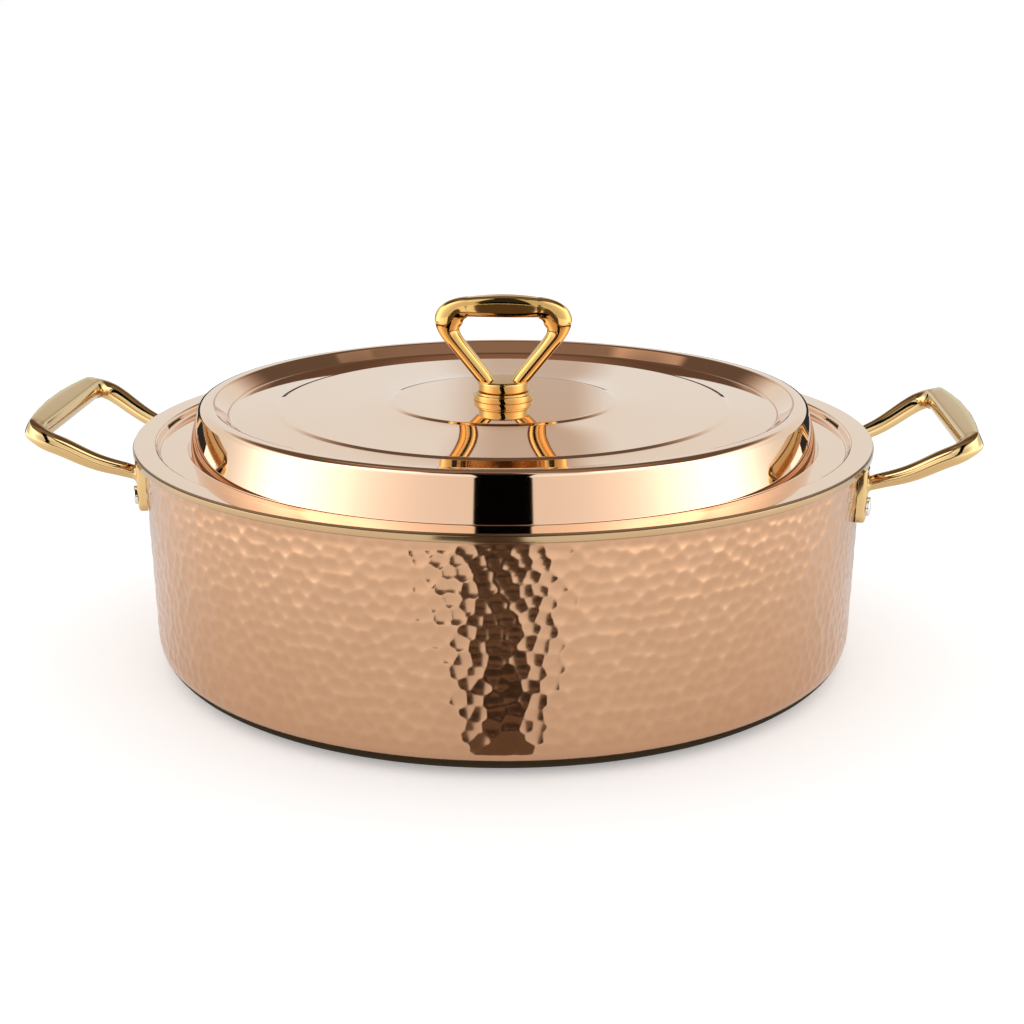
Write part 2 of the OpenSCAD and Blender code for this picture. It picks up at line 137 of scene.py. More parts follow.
class HandleSizes(bpy.types.PropertyGroup):
    """Sizes of a cast side handle and its rivets."""

    foot_angle: angle("Foot angle", "Angle of a foot from the handle's middle", 13.5)
    foot_side: length("Foot side", "Foot beyond the rivet head, each side", 0.0008)
    foot_thick: length("Foot thickness", "Thickness of a foot", 0.0038)
    rivet_up: length("Rivet up", "Rivet above the foot's lower end", 0.007)
    head_gap: length("Head gap", "Rivet head to the leg's fillet", 0.0004)
    foot_top: length("Foot top", "Foot above the leg", 0.0048)
    foot_gap: length("Foot gap", "Foot below the lip", 0.0013)
    foot_round: length("Foot round", "Corner radius of a foot's lower end", 0.0036)
    foot_edge: length("Foot edge", "Rounding of a foot's edges", 0.0016)
    leg: length("Leg", "Thickness of a leg at its foot", 0.0062)
    leg_taper: length("Leg taper", "How much thicker a leg is at its corner", 0.002)
    leg_dip: length("Leg dip", "How far a leg dips below its straight line", 0.0014)
    leg_fillet: length("Leg fillet", "Fillet of a leg into its foot", 0.0018)
    leg_sink: length("Leg sink", "How deep a leg starts in its foot", 0.0012)
    reach: length("Reach", "Grip's middle line out from the lip", 0.0348)
    half: length("Half width", "Half the grip's middle line", 0.0515)
    rise: length("Rise", "Grip's middle line above the lip", 0.0078)
    grip: length("Grip", "Width of the grip", 0.009)
    corner: length("Corner", "Bend radius of the loop's corners", 0.0075)
    corner_fill: length("Corner fill", "Extra width inside the corners", 0.0014)
    bow: length("Bow", "How far the grip bows outward in its middle", 0.0026)
    crease: share("Crease", "Place of the crease from the middle line to the inner side", 0.45)
    lean: share("Lean", "Fall of the grip's top from the crease to its outer edge", 0.2)
    crisp: share("Crispness", "How crisp the grip's edges are", 15.0)
    head: length("Rivet head", "Diameter of a rivet's outer head", 0.008)
    head_height: length("Head height", "Height of a rivet's outer head", 0.0018)
    shank: length("Shank", "Diameter of a rivet's shank", 0.0048)
    tail: length("Tail", "Diameter of a rivet's inner head", 0.009)
    tail_height: length("Tail height", "Height of a rivet's inner head", 0.0011)


class KnobSizes(bpy.types.PropertyGroup):
    """Sizes of the knob, its collar and its screw."""

    collar: length("Collar", "Diameter of the collar", 0.026)
    collar_height: length("Collar height", "Height of the collar", 0.0037)
    neck: length("Neck", "Diameter of the neck", 0.022)
    neck_height: length("Neck height", "Height of the neck over the collar", 0.004)
    spigot: length("Spigot", "Diameter of the spigot in the collar", 0.014)
    bar_up: length("Bar up", "Bar's middle line above the collar", 0.0362)
    bar_half: length("Bar half", "Half the loop's width at the bar", 0.0326)
    leg_gap: length("Leg gap", "Gap between the legs at the neck", 0.0044)
    leg_width: length("Leg width", "Width of a leg seen from the front", 0.007)
    leg_thick: length("Leg thickness", "Thickness of a leg from front to back", 0.0076)
    bar_width: length("Bar height", "Height of the bar seen from the front", 0.0074)
    corner: length("Corner", "Bend radius of the loop's corners", 0.008)
    corner_fill: length("Corner fill", "Extra width of the corners, outside and inside", 0.0028)
    arch: length("Arch", "Rise of the bar's top at its middle", 0.0019)
    swell: length("Swell", "Extra thickness of the bar", 0.0028)
    saddle: length("Saddle", "Rise of the saddle between the legs", 0.0009)
    leg_sink: length("Leg sink", "How deep a leg starts in the neck", 0.0014)
    square: share("Squareness", "How square the bar's section is", 2.4)
    arch_fall: share("Arch fall", "How soon the arch runs out toward the corners", 2.2)
    screw: length("Screw", "Diameter of the screw", 0.005)
    screw_grip: length("Screw grip", "How far the screw enters the knob", 0.006)
    screw_head: length("Screw head", "Diameter of the screw's head", 0.0095)
    screw_head_height: length("Head height", "Height of the screw's head", 0.0033)
    washers: length("Washers", "Height of both washers", 0.0022)


class Finishes(bpy.types.PropertyGroup):
    """Colours and polish of the metals."""

    copper: tint("Copper", "Hammered wall", (0.62, 0.365, 0.218))
    # Darker copper for the cloudy parts and for the painted shade in the hammer blows.
    copper_cloud_and_blow_shade: tint("Deep copper", "Between the hammer blows", (0.54, 0.31, 0.178))
    # The lip is a darker, yellower copy of the wall's copper: painted shade under the lid's flange.
    lip: tint("Lip", "Turned-out lip under the lid's flange", (0.50, 0.34, 0.19))
    lip_deep: tint("Deep lip", "Cloudy parts of the lip", (0.45, 0.30, 0.16))
    # The sheet's real cut edge, coloured nearly black: painted shade of the seam where the flange sits on the
    # lip.
    cut_edge_shade: tint("Trimmed edge", "Bare edge of the lid's sheet", (0.18, 0.11, 0.06))
    cut_edge_shade_deep: tint("Deep trimmed edge", "Cloudy parts of the bare edge", (0.14, 0.085, 0.045))
    rose: tint("Rose gold", "Lid", (0.88, 0.58, 0.39))
    rose_deep: tint("Deep rose gold", "Cloudy parts of the lid's polish", (0.86, 0.555, 0.37))
    gold: tint("Gold", "Knob", (0.72, 0.45, 0.16))
    gold_deep: tint("Deep gold", "Cloudy parts of the knob", (0.66, 0.40, 0.13))
    pale_gold: tint("Pale gold", "Side handles", (0.72, 0.50, 0.24))
    pale_gold_deep: tint("Deep pale gold", "Cloudy parts of the side handles", (0.66, 0.44, 0.19))
    lining: tint("Lining", "Steel inside pan and lid", (0.60, 0.59, 0.57))
    lining_deep: tint("Lining lines", "Spun lines of the steel", (0.50, 0.49, 0.47))
    rivet: tint("Rivets", "Rivet heads", (0.86, 0.84, 0.80))
    rivet_deep: tint("Rivet shade", "Cloudy parts of the rivet heads", (0.78, 0.75, 0.70))
    hardware: tint("Hardware", "Screw and washers", (0.55, 0.55, 0.56))
    hardware_deep: tint("Hardware shade", "Cloudy parts of screw and washers", (0.45, 0.45, 0.46))
    core: tint("Core", "Heat-spreading layer", (0.70, 0.70, 0.71))
    core_deep: tint("Core shade", "Rolled lines of the core", (0.62, 0.62, 0.63))


class Studio(bpy.types.PropertyGroup):
    """Camera, floor, soft light and the room that only the metal mirrors.

    The room's soft edges are measured on the direction in which the metal looks.
    """

    distance: length("Distance", "Camera from the point it looks at", 0.8013)
    aim: length("Aim", "Height of the point the camera looks at", 0.0603)
    elevation: angle("Elevation", "Camera above the horizon", 16.17)
    azimuth: angle("Azimuth", "Camera round toward +X", 3.35)
    lens: share("Lens", "Focal length on a sensor 36 mm wide", 63.28)
    shift: share("Shift", "Sideways shift of the picture", 0.0086)
    front_glow: share("Front light", "Light from straight ahead", 0.83)
    side_glow: share("Side light", "Extra light from the two side lamps", 1.85)
    back_glow: share("Back light", "Light from behind", 0.95)
    back_tint: tint("Back tint", "Colour of the light from behind, seen in the metal", (0.9, 0.99, 1.02))
    top_dark: share("Top dark", "Light from the dark ceiling's edge", 0.14)
    top_glow: share("Top glow", "Extra light from straight above", 0.14)
    patch_glow: share("Patch light", "Extra light from two soft patches of the ceiling", 0.42)
    top_tint: tint("Top tint", "Colour of the dark ceiling, seen in the metal", (1.0, 0.76, 0.6))
    back_band: share("Back band", "How much a soft band straight behind is darker", 0.33)
    band_tint: tint("Band tint", "Colour of the soft band straight behind", (0.95, 0.86, 0.76))
    high_glow: share("High light", "How much brighter the front is high up", 0.35)
    high_tint: tint("High tint", "Colour of the light high up in front", (0.86, 1.0, 1.1))
    floor_white: share("Floor", "Whiteness of the floor", 0.84)
    floor_lift: share("Floor lift", "Light added to the floor so that it reads white", 0.31)
    flag_half: angle("Flag", "Half width of the dark strip in front", 9.8)
    strip_dark: tint("Strip dark", "Light given back by the dark strip on the floor", (0.12, 0.085, 0.06))
    strip_half: length("Strip half", "Half width of the dark strip on the floor, beside the wall", 0.012)
    flag_dark: share("Flag dark", "Light from the dark card in front", 0.0005)
    # Painted light and shade on the floor, seen only in the metal: brighter farther off, darker behind, and a
    # glow far off to the sides in place of the side lamps' light.
    floor_painted_slope: share("Floor slope", "How much brighter the far floor is, seen in the metal", 0.22)
    back_floor_painted_shade: share("Back floor", "How much darker the floor behind is, seen in the metal", 0.35)
    far_floor_painted_glow: share("Far floor", "Light of the side lamps on the far floor, seen in the metal", 1.1)
    floor_far: soft_edge("Far floor edge", "Distance at which the lamps light the floor", 0.34, 0.9)
    floor_near: soft_edge("Near floor edge", "Distance over which the floor grows brighter", 0.2, 0.5)
    floor_back: soft_edge("Back floor edge", "Where the floor behind grows darker", 0.0, 0.25)
    lamp_ahead: share("Lamp place", "How far ahead of the sides the lamps hang", 0.12)
    lamp_spread: share("Lamp spread", "Width of the side lamps", 0.33)
    lamp_wider: share("Lamp widening", "Extra width of the side lamps, in front and high up", 0.17)
    lamp_front: soft_edge("Lamp front", "Where the lamps widen toward the front", 0.1, 0.14)
    lamp_high: soft_edge("Lamp height", "Where the lamps widen upward", 0.35, 0.5)
    back_edge: soft_edge("Back edge", "From the light behind to the light ahead", -0.3, 0.2)
    band_left: soft_edge("Band left", "Left edge of the soft band behind", -0.045, 0.0)
    band_right: soft_edge("Band right", "Right edge of the soft band behind", 0.04, 0.07)
    high_up: soft_edge("High edge", "Height at which the high light starts", 0.55, 0.7)
    high_front: soft_edge("High front", "Where the high light starts toward the front", 0.2, 0.4)
    patch_back: share("Patch place", "How far back the ceiling's soft patches lie", 0.353)
    patch_aside: share("Patch aside", "How far aside the patches lie", 0.34)
    patch_slant: share("Patch slant", "How much the patches slant outward", 0.52)
    patch_less: share("Patch shrink", "How much smaller the right patch is", 0.5)
    patch_turn: soft_edge("Patch turn", "From the left patch to the right one", -0.1, 0.1)
    patch_side: soft_edge("Patch side", "Long edges of a patch", 0.03, 0.06)
    patch_end: soft_edge("Patch end", "Short edges of a patch", 0.09, 0.13)
    top_edge: soft_edge("Top edge", "Where the ceiling grows lighter straight above", 0.78, 0.95)
    cover: soft_edge("Ceiling edge", "Height at which the dark ceiling starts", 0.32, 0.52)
    cover_side: share("Ceiling side", "How much higher the ceiling starts at the sides", 0.4)
    cover_front: share("Ceiling front", "How much higher the ceiling starts in front", 0.5)
    cover_turn: soft_edge("Ceiling turn", "From the ceiling behind to the ceiling in front", -0.05, 0.3)
    flag_aside: share("Flag aside", "How far the dark card leans to the left low down", 0.1)
    flag_lean: soft_edge("Flag lean", "Heights over which the dark card comes back to the middle", 0.16, 0.26)
    flag_narrow: share("Flag narrowing", "How much narrower the dark card is high up", 0.03)
    flag_high: soft_edge("Flag height", "Heights over which the dark card narrows", 0.32, 0.7)
    flag_side: soft_edge("Flag side", "Side edges of the dark card", 0.165, 0.177)
    flag_front: soft_edge("Flag front", "Where the dark card starts toward the front", 0.0, 0.1)


class PanSettings(bpy.types.PropertyGroup):
    """All settings of the pan."""

    pan: PointerProperty(type=PanSizes)
    lid: PointerProperty(type=LidSizes)
    handle: PointerProperty(type=HandleSizes)
    knob: PointerProperty(type=KnobSizes)
    finish: PointerProperty(type=Finishes)
    studio: PointerProperty(type=Studio)


def both_ways(operation):
    """An operator and its reflected form, each of which adds one Math node."""

    def plain(self, other):
        return self.maths(operation, self, other)

    def reflected(self, other):
        return self.maths(operation, other, self)

    return plain, reflected


class Term:
    """An output of a shader node that can stand in a sum."""

    __add__, __radd__ = both_ways("ADD")
    __sub__, __rsub__ = both_ways("SUBTRACT")
    __mul__, __rmul__ = both_ways("MULTIPLY")
    __truediv__, __rtruediv__ = both_ways("DIVIDE")
    __pow__, __rpow__ = both_ways("POWER")

    def __init__(self, shader, socket):
        self.shader = shader
        self.socket = socket

    def maths(self, operation, first, second=0.0):
        """One step of arithmetic."""
        return self.shader.term("ShaderNodeMath", 0, {"operation": operation}, {0: first, 1: second})

    def __abs__(self):
        return self.maths("ABSOLUTE", self)

    def bell(self, middle, spread):
        """One at the middle, falling away smoothly on both sides."""
        off = (self - middle) / spread
        return self.maths("EXPONENT", off * off * -1.0)

    def at_least(self, other):
        """The larger of two values."""
        return self.maths("MAXIMUM", self, other)


class Shader:
    """The node tree of a material or of the world."""

    def __init__(self, owner):
        owner.use_nodes = True
        self.tree = owner.node_tree
        self.tree.nodes.clear()

    def node(self, kind, settings=None, inputs=None):
        """Adds a node: its settings first, then its inputs."""
        node = self.tree.nodes.new(kind)
        for key, value in (settings or {}).items():
            setattr(node, key, value)
        for key, value in (inputs or {}).items():
            if isinstance(value, Term):
                self.tree.links.new(value.socket, node.inputs[key])
            else:
                node.inputs[key].default_value = value
        return node

    def term(self, kind, output, settings=None, inputs=None):
        """One output of a new node."""
        return Term(self, self.node(kind, settings, inputs).outputs[output])

    def place(self):
        """Position in the piece's own frame, in metres."""
        return self.term("ShaderNodeTexCoord", "Object")

    def noise(self, place, scale, detail):
        """Smooth noise from nothing to one."""
        return self.term("ShaderNodeTexNoise", 0, None, {"Vector": place, "Scale": scale, "Detail": detail})

    def blend(self, factor, first, second):
        """A colour between two."""
        settings = {"data_type": "RGBA", "clamp_factor": True}
        return self.term("ShaderNodeMix", 2, settings, {0: factor, 6: colour(first), 7: colour(second)})

    def ease(self, value, low, high):
        """Nothing below low, one above high, smooth between."""
        inputs = {"Value": value, "From Min": low, "From Max": high, "To Min": 0.0, "To Max": 1.0}
        return self.term("ShaderNodeMapRange", 0, {"interpolation_type": "SMOOTHSTEP"}, inputs)

    def parts(self, vector):
        """The three parts of a vector."""
        node = self.node("ShaderNodeSeparateXYZ", None, {0: vector})
        return [Term(self, socket) for socket in node.outputs]

    def bump(self, height, depth):
        """A normal tipped by a height."""
        return self.term("ShaderNodeBump", 0, None, {"Height": height, "Strength": 1.0, "Distance": depth})

    def metal(self, base, roughness, normal):
        """A bare metal surface, and the material's output."""
        inputs = {"Base Color": base, "Metallic": 1.0, "Roughness": roughness, "Normal": normal}
        surface = self.term("ShaderNodeBsdfPrincipled", 0, None, inputs)
        self.node("ShaderNodeOutputMaterial", None, {"Surface": surface})


def flat_length(x, y):
    """Length of a direction's level part."""
    return (x * x + y * y) ** 0.5


def colour(value):
    """A colour socket's value; a Term passes through."""
    return value if isinstance(value, Term) else (*value, 1.0)


def start_material(name):
    """A new material and its empty node tree."""
    material = bpy.data.materials.new(name)
    return material, Shader(material)


def polished(name, light, deep, roughness, cloud, grain, depth):
    """A polished metal: faint clouds in the colour, fine scratches in the polish."""
    material, shader = start_material(name)
    place = shader.place()
    clouds = shader.noise(place, cloud, detail=3.0)
    scratches = shader.noise(place, grain, detail=2.0)
    shader.metal(
        shader.blend(clouds, deep, light),
        roughness * (0.7 + 0.4 * clouds + 0.3 * scratches),
        shader.bump(clouds + 0.2 * scratches, depth),
    )
    return material


def hammered(name, light, deep, roughness):
    """Hammered copper: painted shade deep in the blows, painted highlight on the crests, with fine polishing
    scratches.
    """
    material, shader = start_material(name)
    place = shader.place()
    clouds = shader.noise(place, scale=38.0, detail=3.0)
    scratches = shader.noise(place, scale=1100.0, detail=2.0)
    blow = shader.term("ShaderNodeAttribute", "Fac", {"attribute_name": "blow"})
    # The colour: random clouds, plus painted shade where a blow is deep and a painted highlight on the crests
    # between the blows.
    tone = 0.35 + 0.55 * clouds - 0.25 * blow + 0.25 * (1.0 - blow)
    shader.metal(
        shader.blend(tone, deep, light),
        roughness * (0.75 + 0.3 * clouds + 0.3 * scratches),
        shader.bump(scratches, depth=1.5e-6),
    )
    return material


def spun(name, light, deep, roughness, spacing):
    """Satin steel with fine lines that run round the axis."""
    material, shader = start_material(name)
    place = shader.place()
    x, y, up = shader.parts(place)
    radius = flat_length(x, y)
    lines = shader.term("ShaderNodeCombineXYZ", 0, None, {0: radius / spacing, 1: up / spacing, 2: 0.0})
    ring = shader.noise(lines, scale=1.0, detail=3.0)
    clouds = shader.noise(place, scale=30.0, detail=2.0)
    shader.metal(
        shader.blend(0.3 + 0.5 * ring + 0.2 * clouds, deep, light),
        roughness * (0.75 + 0.35 * ring + 0.2 * clouds),
        shader.bump(ring, depth=4e-6),
    )
    return material


def plain_card(name, level):
    """The face of a stage card, dark or light, that gives back a fixed light."""
    material, shader = start_material(name)
    glow = shader.term("ShaderNodeEmission", 0, None, {"Color": colour(level), "Strength": 1.0})
    shader.node("ShaderNodeOutputMaterial", None, {"Surface": glow})
    return material


def smooth(value):
    """Eases from nothing to one."""
    value = np.clip(value, 0.0, 1.0)
    return value * value * (3 - 2 * value)


def unit(vector):
    """The vector at length one."""
    return vector / np.linalg.norm(vector)


def once_round(count):
    """Even bearings once round the axis."""
    return np.linspace(0, 2 * math.pi, count, endpoint=False)


def to_left(way):
    """A flat direction turned a quarter to its left."""
    return np.array([-way[1], way[0]])


def beside(path, distance):
    """A path of [x, y, corner radius] moved to its left, with each corner's radius following."""
    ends = len(path) - 1
    ways = [unit(np.subtract(path[i + 1][:2], path[i][:2])) for i in range(ends)]
    moved = []
    for i, (x, y, radius) in enumerate(path):
        before, after = ways[max(0, i - 1)], ways[min(ends - 1, i)]
        shift = (to_left(before) + to_left(after)) * distance / (1 + before @ after)
        turn = math.copysign(1, before[0] * after[1] - before[1] * after[0])
        moved.append((x + shift[0], y + shift[1], radius - turn * distance if radius else 0.0))
    return moved


def rounded(path, arc=BEND_STEP):
    """A path of [x, y, corner radius] as points, with its corners rounded."""
    points = [np.array(path[0][:2])]
    for before, here, after in zip(path, path[1:], path[2:]):
        spot, radius = np.array(here[:2]), here[2]
        way_in = unit(spot - before[:2])
        way_out = unit(np.subtract(after[:2], spot))
        if radius <= 0:
            points.append(spot)
            continue
        side = math.copysign(1, way_in[0] * way_out[1] - way_in[1] * way_out[0])
        turn = math.acos(min(1.0, way_in @ way_out))
        start = spot - way_in * radius * math.tan(turn / 2)
        centre = start + to_left(way_in) * side * radius
        spoke = start - centre
        for step in np.linspace(0, side * turn, max(3, math.ceil(turn / arc)) + 1):
            points.append(centre + spoke * math.cos(step) + to_left(spoke) * math.sin(step))
    points.append(np.array(path[-1][:2]))
    return points


def spin(profile, turns):
    """Points and quads of a closed profile of [radius, height] spun round Z, its outside facing out."""
    profile = np.array(profile)
    x, y = profile.T
    if np.sum(x * np.roll(y, -1) - y * np.roll(x, -1)) < 0:
        profile = profile[::-1]
    bearing = once_round(turns)
    grid = np.stack([
        profile[:, :1] * np.cos(bearing),
        profile[:, :1] * np.sin(bearing),
        np.repeat(profile[:, 1:], turns, axis=1),
    ], axis=-1)
    return grid.reshape(-1, 3), grid_faces(len(profile), turns, closed=True)


def grid_faces(rows, turns, closed):
    """Quads of a grid that closes round its columns and, if asked, round its rows."""
    row = np.arange(rows if closed else rows - 1)[:, None]
    column = np.arange(turns)[None, :]
    above, beyond = (row + 1) % rows, (column + 1) % turns
    corners = [row * turns + column, row * turns + beyond, above * turns + beyond, above * turns + column]
    return np.stack([np.broadcast_to(c, (row.size, turns)) for c in corners], axis=-1).reshape(-1, 4)


def sweep(rings):
    """Points and faces of a solid bar through rings of equal count."""
    rings = np.array(rings)
    count, sides = rings.shape[:2]
    faces = [tuple(face) for face in grid_faces(count, sides, closed=False)]
    faces.append(tuple(range(sides - 1, -1, -1)))
    faces.append(tuple((count - 1) * sides + i for i in range(sides)))
    return rings.reshape(-1, 3), faces


def joined(*solids):
    """Several solids as one list of points and faces."""
    points, faces = [], []
    for some_points, some_faces in solids:
        start = len(points)
        points.extend(tuple(map(float, p)) for p in some_points)
        faces.extend(tuple(int(i) + start for i in face) for face in some_faces)
    return points, faces


def add_piece(name, solid, body, nodes, materials, kinds=None):
    """A smooth-shaded mesh that rides on a body and stands for CAD nodes."""
    points, faces = joined(solid)
    mesh = bpy.data.meshes.new(name)
    mesh.from_pydata(points, [], faces)
    for material in materials:
        mesh.materials.append(material)
    if kinds is not None:
        mesh.polygons.foreach_set("material_index", kinds)
    mesh.shade_smooth()
    mesh.set_sharp_from_angle(angle=SMOOTH_ANGLE)
    mesh.update()
    piece = bpy.data.objects.new(name, mesh)
    bpy.context.scene.collection.objects.link(piece)
    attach(piece, body)
    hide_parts(*nodes)
    return piece


def dress(node, material):
    """Gives a CAD node its material."""
    node.data.materials.clear()
    node.data.materials.append(material)


def pan_outline(pan):
    """The pan's outer face from the middle of the base to the lip, as [radius, height, corner radius]."""
    lip_z = pan.height - pan.shell - pan.core - pan.lining
    top_r = pan.base_radius + pan.splay
    return [
        (0.0, 0.0, 0.0),
        (pan.base_radius, 0.0, pan.base_round),
        (top_r, lip_z, pan.lip_bend),
        (top_r + pan.lip_width, lip_z, 0.0),
    ]


def sheet_thick(pan):
    """Thickness of the pan's three layers."""
    return pan.shell + pan.core + pan.lining


def wall_lean(pan):
    """The wall's lean from upright."""
    return math.atan(pan.splay / pan_outline(pan)[2][1])


def lip_radius(pan):
    """The lip's outer radius."""
    return pan.base_radius + pan.splay + pan.lip_width


def lid_heights(pan, lid):
    """Heights of the lid's flange, rim, panel and middle disc."""
    flange = pan.height + lid.sheet
    rim = flange + lid.rim_height
    panel = rim - lid.panel_drop
    return flange, rim, panel, panel + lid.outer_fall + lid.inner_fall + 2 * lid.step_height


def lid_outline(pan, lid):
    """The lid's top face from the screw hole to the flange, as [radius, height, corner radius]."""
    flange, rim, panel, disc = lid_heights(pan, lid)
    mouth = pan.base_radius + pan.splay - sheet_thick(pan) / math.cos(wall_lean(pan))
    riser = mouth - lid.step_gap - lid.sheet
    foot = riser - lid.gutter_width
    rim_r = foot - lid.wall_lean
    rim_in = rim_r - lid.rim_width
    panel_r = rim_in - lid.slope_width
    outer_r = panel_r - lid.outer_flat
    disc_r = outer_r - lid.inner_flat
    gutter = flange - lid.gutter_depth
    run = lid.inner_flat - lid.step_run
    whole = 1 - math.exp(-run / lid.fall_reach)
    steps = 60
    fall = [
        (disc_r + lid.step_run + run * t,
         disc - lid.step_height - lid.inner_fall * (1 - math.exp(-t * run / lid.fall_reach)) / whole, 0.0)
        for t in np.linspace(0, 1, steps)[1:-1]]
    return [
        (lid.hole_radius, disc, 0.0),
        (disc_r, disc, lid.bend_soft),
        (disc_r + lid.step_run, disc - lid.step_height, lid.bend_soft / 2),
        *fall,
        (outer_r, panel + lid.outer_fall + lid.step_height, lid.bend_soft / 4),
        (outer_r + lid.step_run, panel + lid.outer_fall, lid.bend_soft),
        (panel_r, panel, lid.bend_cove),
        (rim_in, rim, lid.bend_rim),
        (rim_r, rim, lid.bend_rim),
        (foot, gutter, lid.bend_foot),
        (riser - lid.riser_lean, gutter, lid.bend_crisp),
        (riser, flange, lid.bend_crisp),
        (lip_radius(pan) - lid.lip_show, flange, 0.0),
    ]


def finer(points, size, low, high):
    """A path with its long steps between two heights split up."""
    split = [points[0]]
    for a, b in zip(points, points[1:]):
        middle = (a[1] + b[1]) / 2
        count = max(1, math.ceil(np.linalg.norm(b - a) / size)) if low < middle < high else 1
        split.extend(a + (b - a) * i / count for i in range(1, count + 1))
    return np.array(split)


def hammer_blows(along, bearing, girth, pan):
    """Depth left by overlapping round hammer blows, at each [way up the wall, bearing]."""
    seed, margin, lightest, crest_percent = 7, 3, 0.35, 98
    neighbours = range(-2, 4)
    dice = np.random.default_rng(seed)
    blows = round(girth / pan.pitch)
    step = girth / blows
    gap = pan.pitch * math.sqrt(3) / 2
    rows = math.ceil(along.max() / gap) + 2 * margin
    aside = dice.uniform(-pan.scatter, pan.scatter, (rows, blows))
    upward = dice.uniform(-pan.scatter, pan.scatter, (rows, blows))
    lighter = dice.uniform(0, lightest, (rows, blows)) * pan.pitch ** 2 / (8 * pan.face)
    up, around = np.meshgrid(along, bearing * girth / (2 * math.pi), indexing="ij")
    near_row = np.floor(up / gap).astype(int) + margin
    crowd = np.zeros_like(up)
    for next_row in neighbours:
        row = np.clip(near_row + next_row, 0, rows - 1)
        lag = 0.5 * (row % 2)
        near = np.floor(around / step - lag).astype(int)
        for next_blow in neighbours:
            blow = (near + next_blow) % blows
            x = around - (near + next_blow + lag + aside[row, blow]) * step
            y = up - (row - margin + upward[row, blow]) * gap
            crowd += np.exp(-((x * x + y * y) / (2 * pan.face) + lighter[row, blow]) / pan.crest)
    crown = -pan.crest * np.log(crowd)
    return np.maximum(0, np.percentile(crown, crest_percent) - crown)


def foot_sizes(pan, handle):
    """Foot half width, its lower and upper ends from the rivet, the leg's height and the rivet's height."""
    leg = handle.leg / 2
    leg_up = handle.head / 2 + handle.head_gap + handle.leg_fillet + leg
    height = handle.rivet_up + leg_up + leg + handle.foot_top
    half = max(handle.leg, handle.head) / 2 + handle.foot_side
    rivet_z = pan_outline(pan)[2][1] - handle.foot_gap - height + handle.rivet_up
    return half, -handle.rivet_up, height - handle.rivet_up, leg_up, rivet_z


def foot_frame(pan, handle, bearing):
    """Frame of a foot: X outward from the wall, Y along it, Z up it from the rivet."""
    rivet_z = foot_sizes(pan, handle)[4]
    radius = pan.base_radius + rivet_z * math.tan(wall_lean(pan))
    turn = Matrix.Rotation(bearing, 4, "Z")
    return turn @ Matrix.Translation((radius, 0, rivet_z)) @ Matrix.Rotation(wall_lean(pan), 4, "Y")


def moved(solid, matrix):
    """A solid carried into another frame."""
    points, faces = solid
    return [matrix @ Vector(map(float, p)) for p in points], faces


def plate(outline, thick, edge):
    """A plate along X over an outline of [y, z], with its front edge rounded."""
    outline = np.array(outline)
    ways = np.roll(outline, -1, axis=0) - np.roll(outline, 1, axis=0)
    ways /= np.linalg.norm(ways, axis=1)[:, None]
    inward = np.stack([-ways[:, 1], ways[:, 0]], axis=1)
    rings = [np.column_stack([np.zeros(len(outline)), outline])]
    edge_rings = 9
    for turn in np.linspace(0, math.pi / 2, edge_rings):
        level = thick - edge + edge * math.sin(turn)
        shrunk = outline + inward * edge * (1 - math.cos(turn))
        rings.append(np.column_stack([np.full(len(outline), level), shrunk]))
    return sweep(rings)


def half_loop(foot, wide, tall, bend, legs=26, corners=22, grips=22, crowding=1.6):
    """Half a loop's middle line from its foot round the corner to its middle.

    Each entry is [along the loop, across it, direction, distance from the foot, share of grip, bow].
    """
    leg = np.array([tall, foot - wide])
    way = math.atan2(leg[1], leg[0])
    cut = bend * math.tan((math.pi / 2 - way) / 2)
    leg_length = np.linalg.norm(leg) - cut
    start = np.array([0, -foot])
    middle = start + unit(leg) * leg_length + bend * np.array([-math.sin(way), math.cos(way)])
    line = []
    for t in np.arange(legs) / legs:
        distance = leg_length * t ** crowding
        line.append((*(start + unit(leg) * distance), way, distance, 0.0, 0.0))
    for t in np.linspace(0, 1, corners + 1):
        turn = way + (math.pi / 2 - way) * t
        spot = middle + bend * np.array([math.sin(turn), -math.cos(turn)])
        line.append((*spot, turn, leg_length + bend * (turn - way), t, 0.0))
    for t in np.arange(1, grips + 1) / grips:
        distance = leg_length + 2 * cut - middle[1] * t
        line.append((tall, middle[1] * (1 - t), math.pi / 2, distance, 1.0, t * (2 - t)))
    return line


def corner_middle(line):
    """Distance from the foot of a half loop to the middle of its corner."""
    return next(entry[3] for entry in line if entry[4] >= 0.5)


def whole_loop(half):
    """The half and its mirror image."""
    return half + [(a, -b, math.pi - way, *rest) for a, b, way, *rest in half[-2::-1]]


def ring(centre, across, high, out, inner, thick, square, sides=64):
    """One ring of a bar, squarer as square grows."""
    turn = once_round(sides)
    c, s = np.cos(turn), np.sin(turn)
    x = np.sign(c) * np.abs(c) ** (2 / square) * np.where(c > 0, out, inner)
    y = np.sign(s) * np.abs(s) ** (2 / square) * thick
    return centre + np.outer(x, across) + np.outer(y, high)


def grip_reach(turn, out, inner, up, handle):
    """Distance from the grip's middle line to its face, at each angle round it."""
    flank_end, under_bevel = 0.15, 0.62
    crease = np.array([-handle.crease * inner, up])
    edge = np.array([handle.grip / 2 + handle.bow, up * (1 - handle.lean)])
    foot = np.array([-inner, flank_end * up])
    faces = [((1, 0), out), ((-1, 0), inner), ((0, -1), up)]
    for a, b in ((edge, crease), (crease, foot)):
        normal = unit(np.array([b[1] - a[1], a[0] - b[0]]))
        faces.append((normal, normal @ crease))
    for side, reach in ((1, out), (-1, inner)):
        faces.append((unit(np.array([side, -1.0])), under_bevel * (reach + up)))
    c, s = np.cos(turn), np.sin(turn)
    whole = sum(
        np.maximum(0, c * normal[0] + s * normal[1]) ** handle.crisp / reach ** handle.crisp
        for normal, reach in faces)
    return whole ** (-1 / handle.crisp)


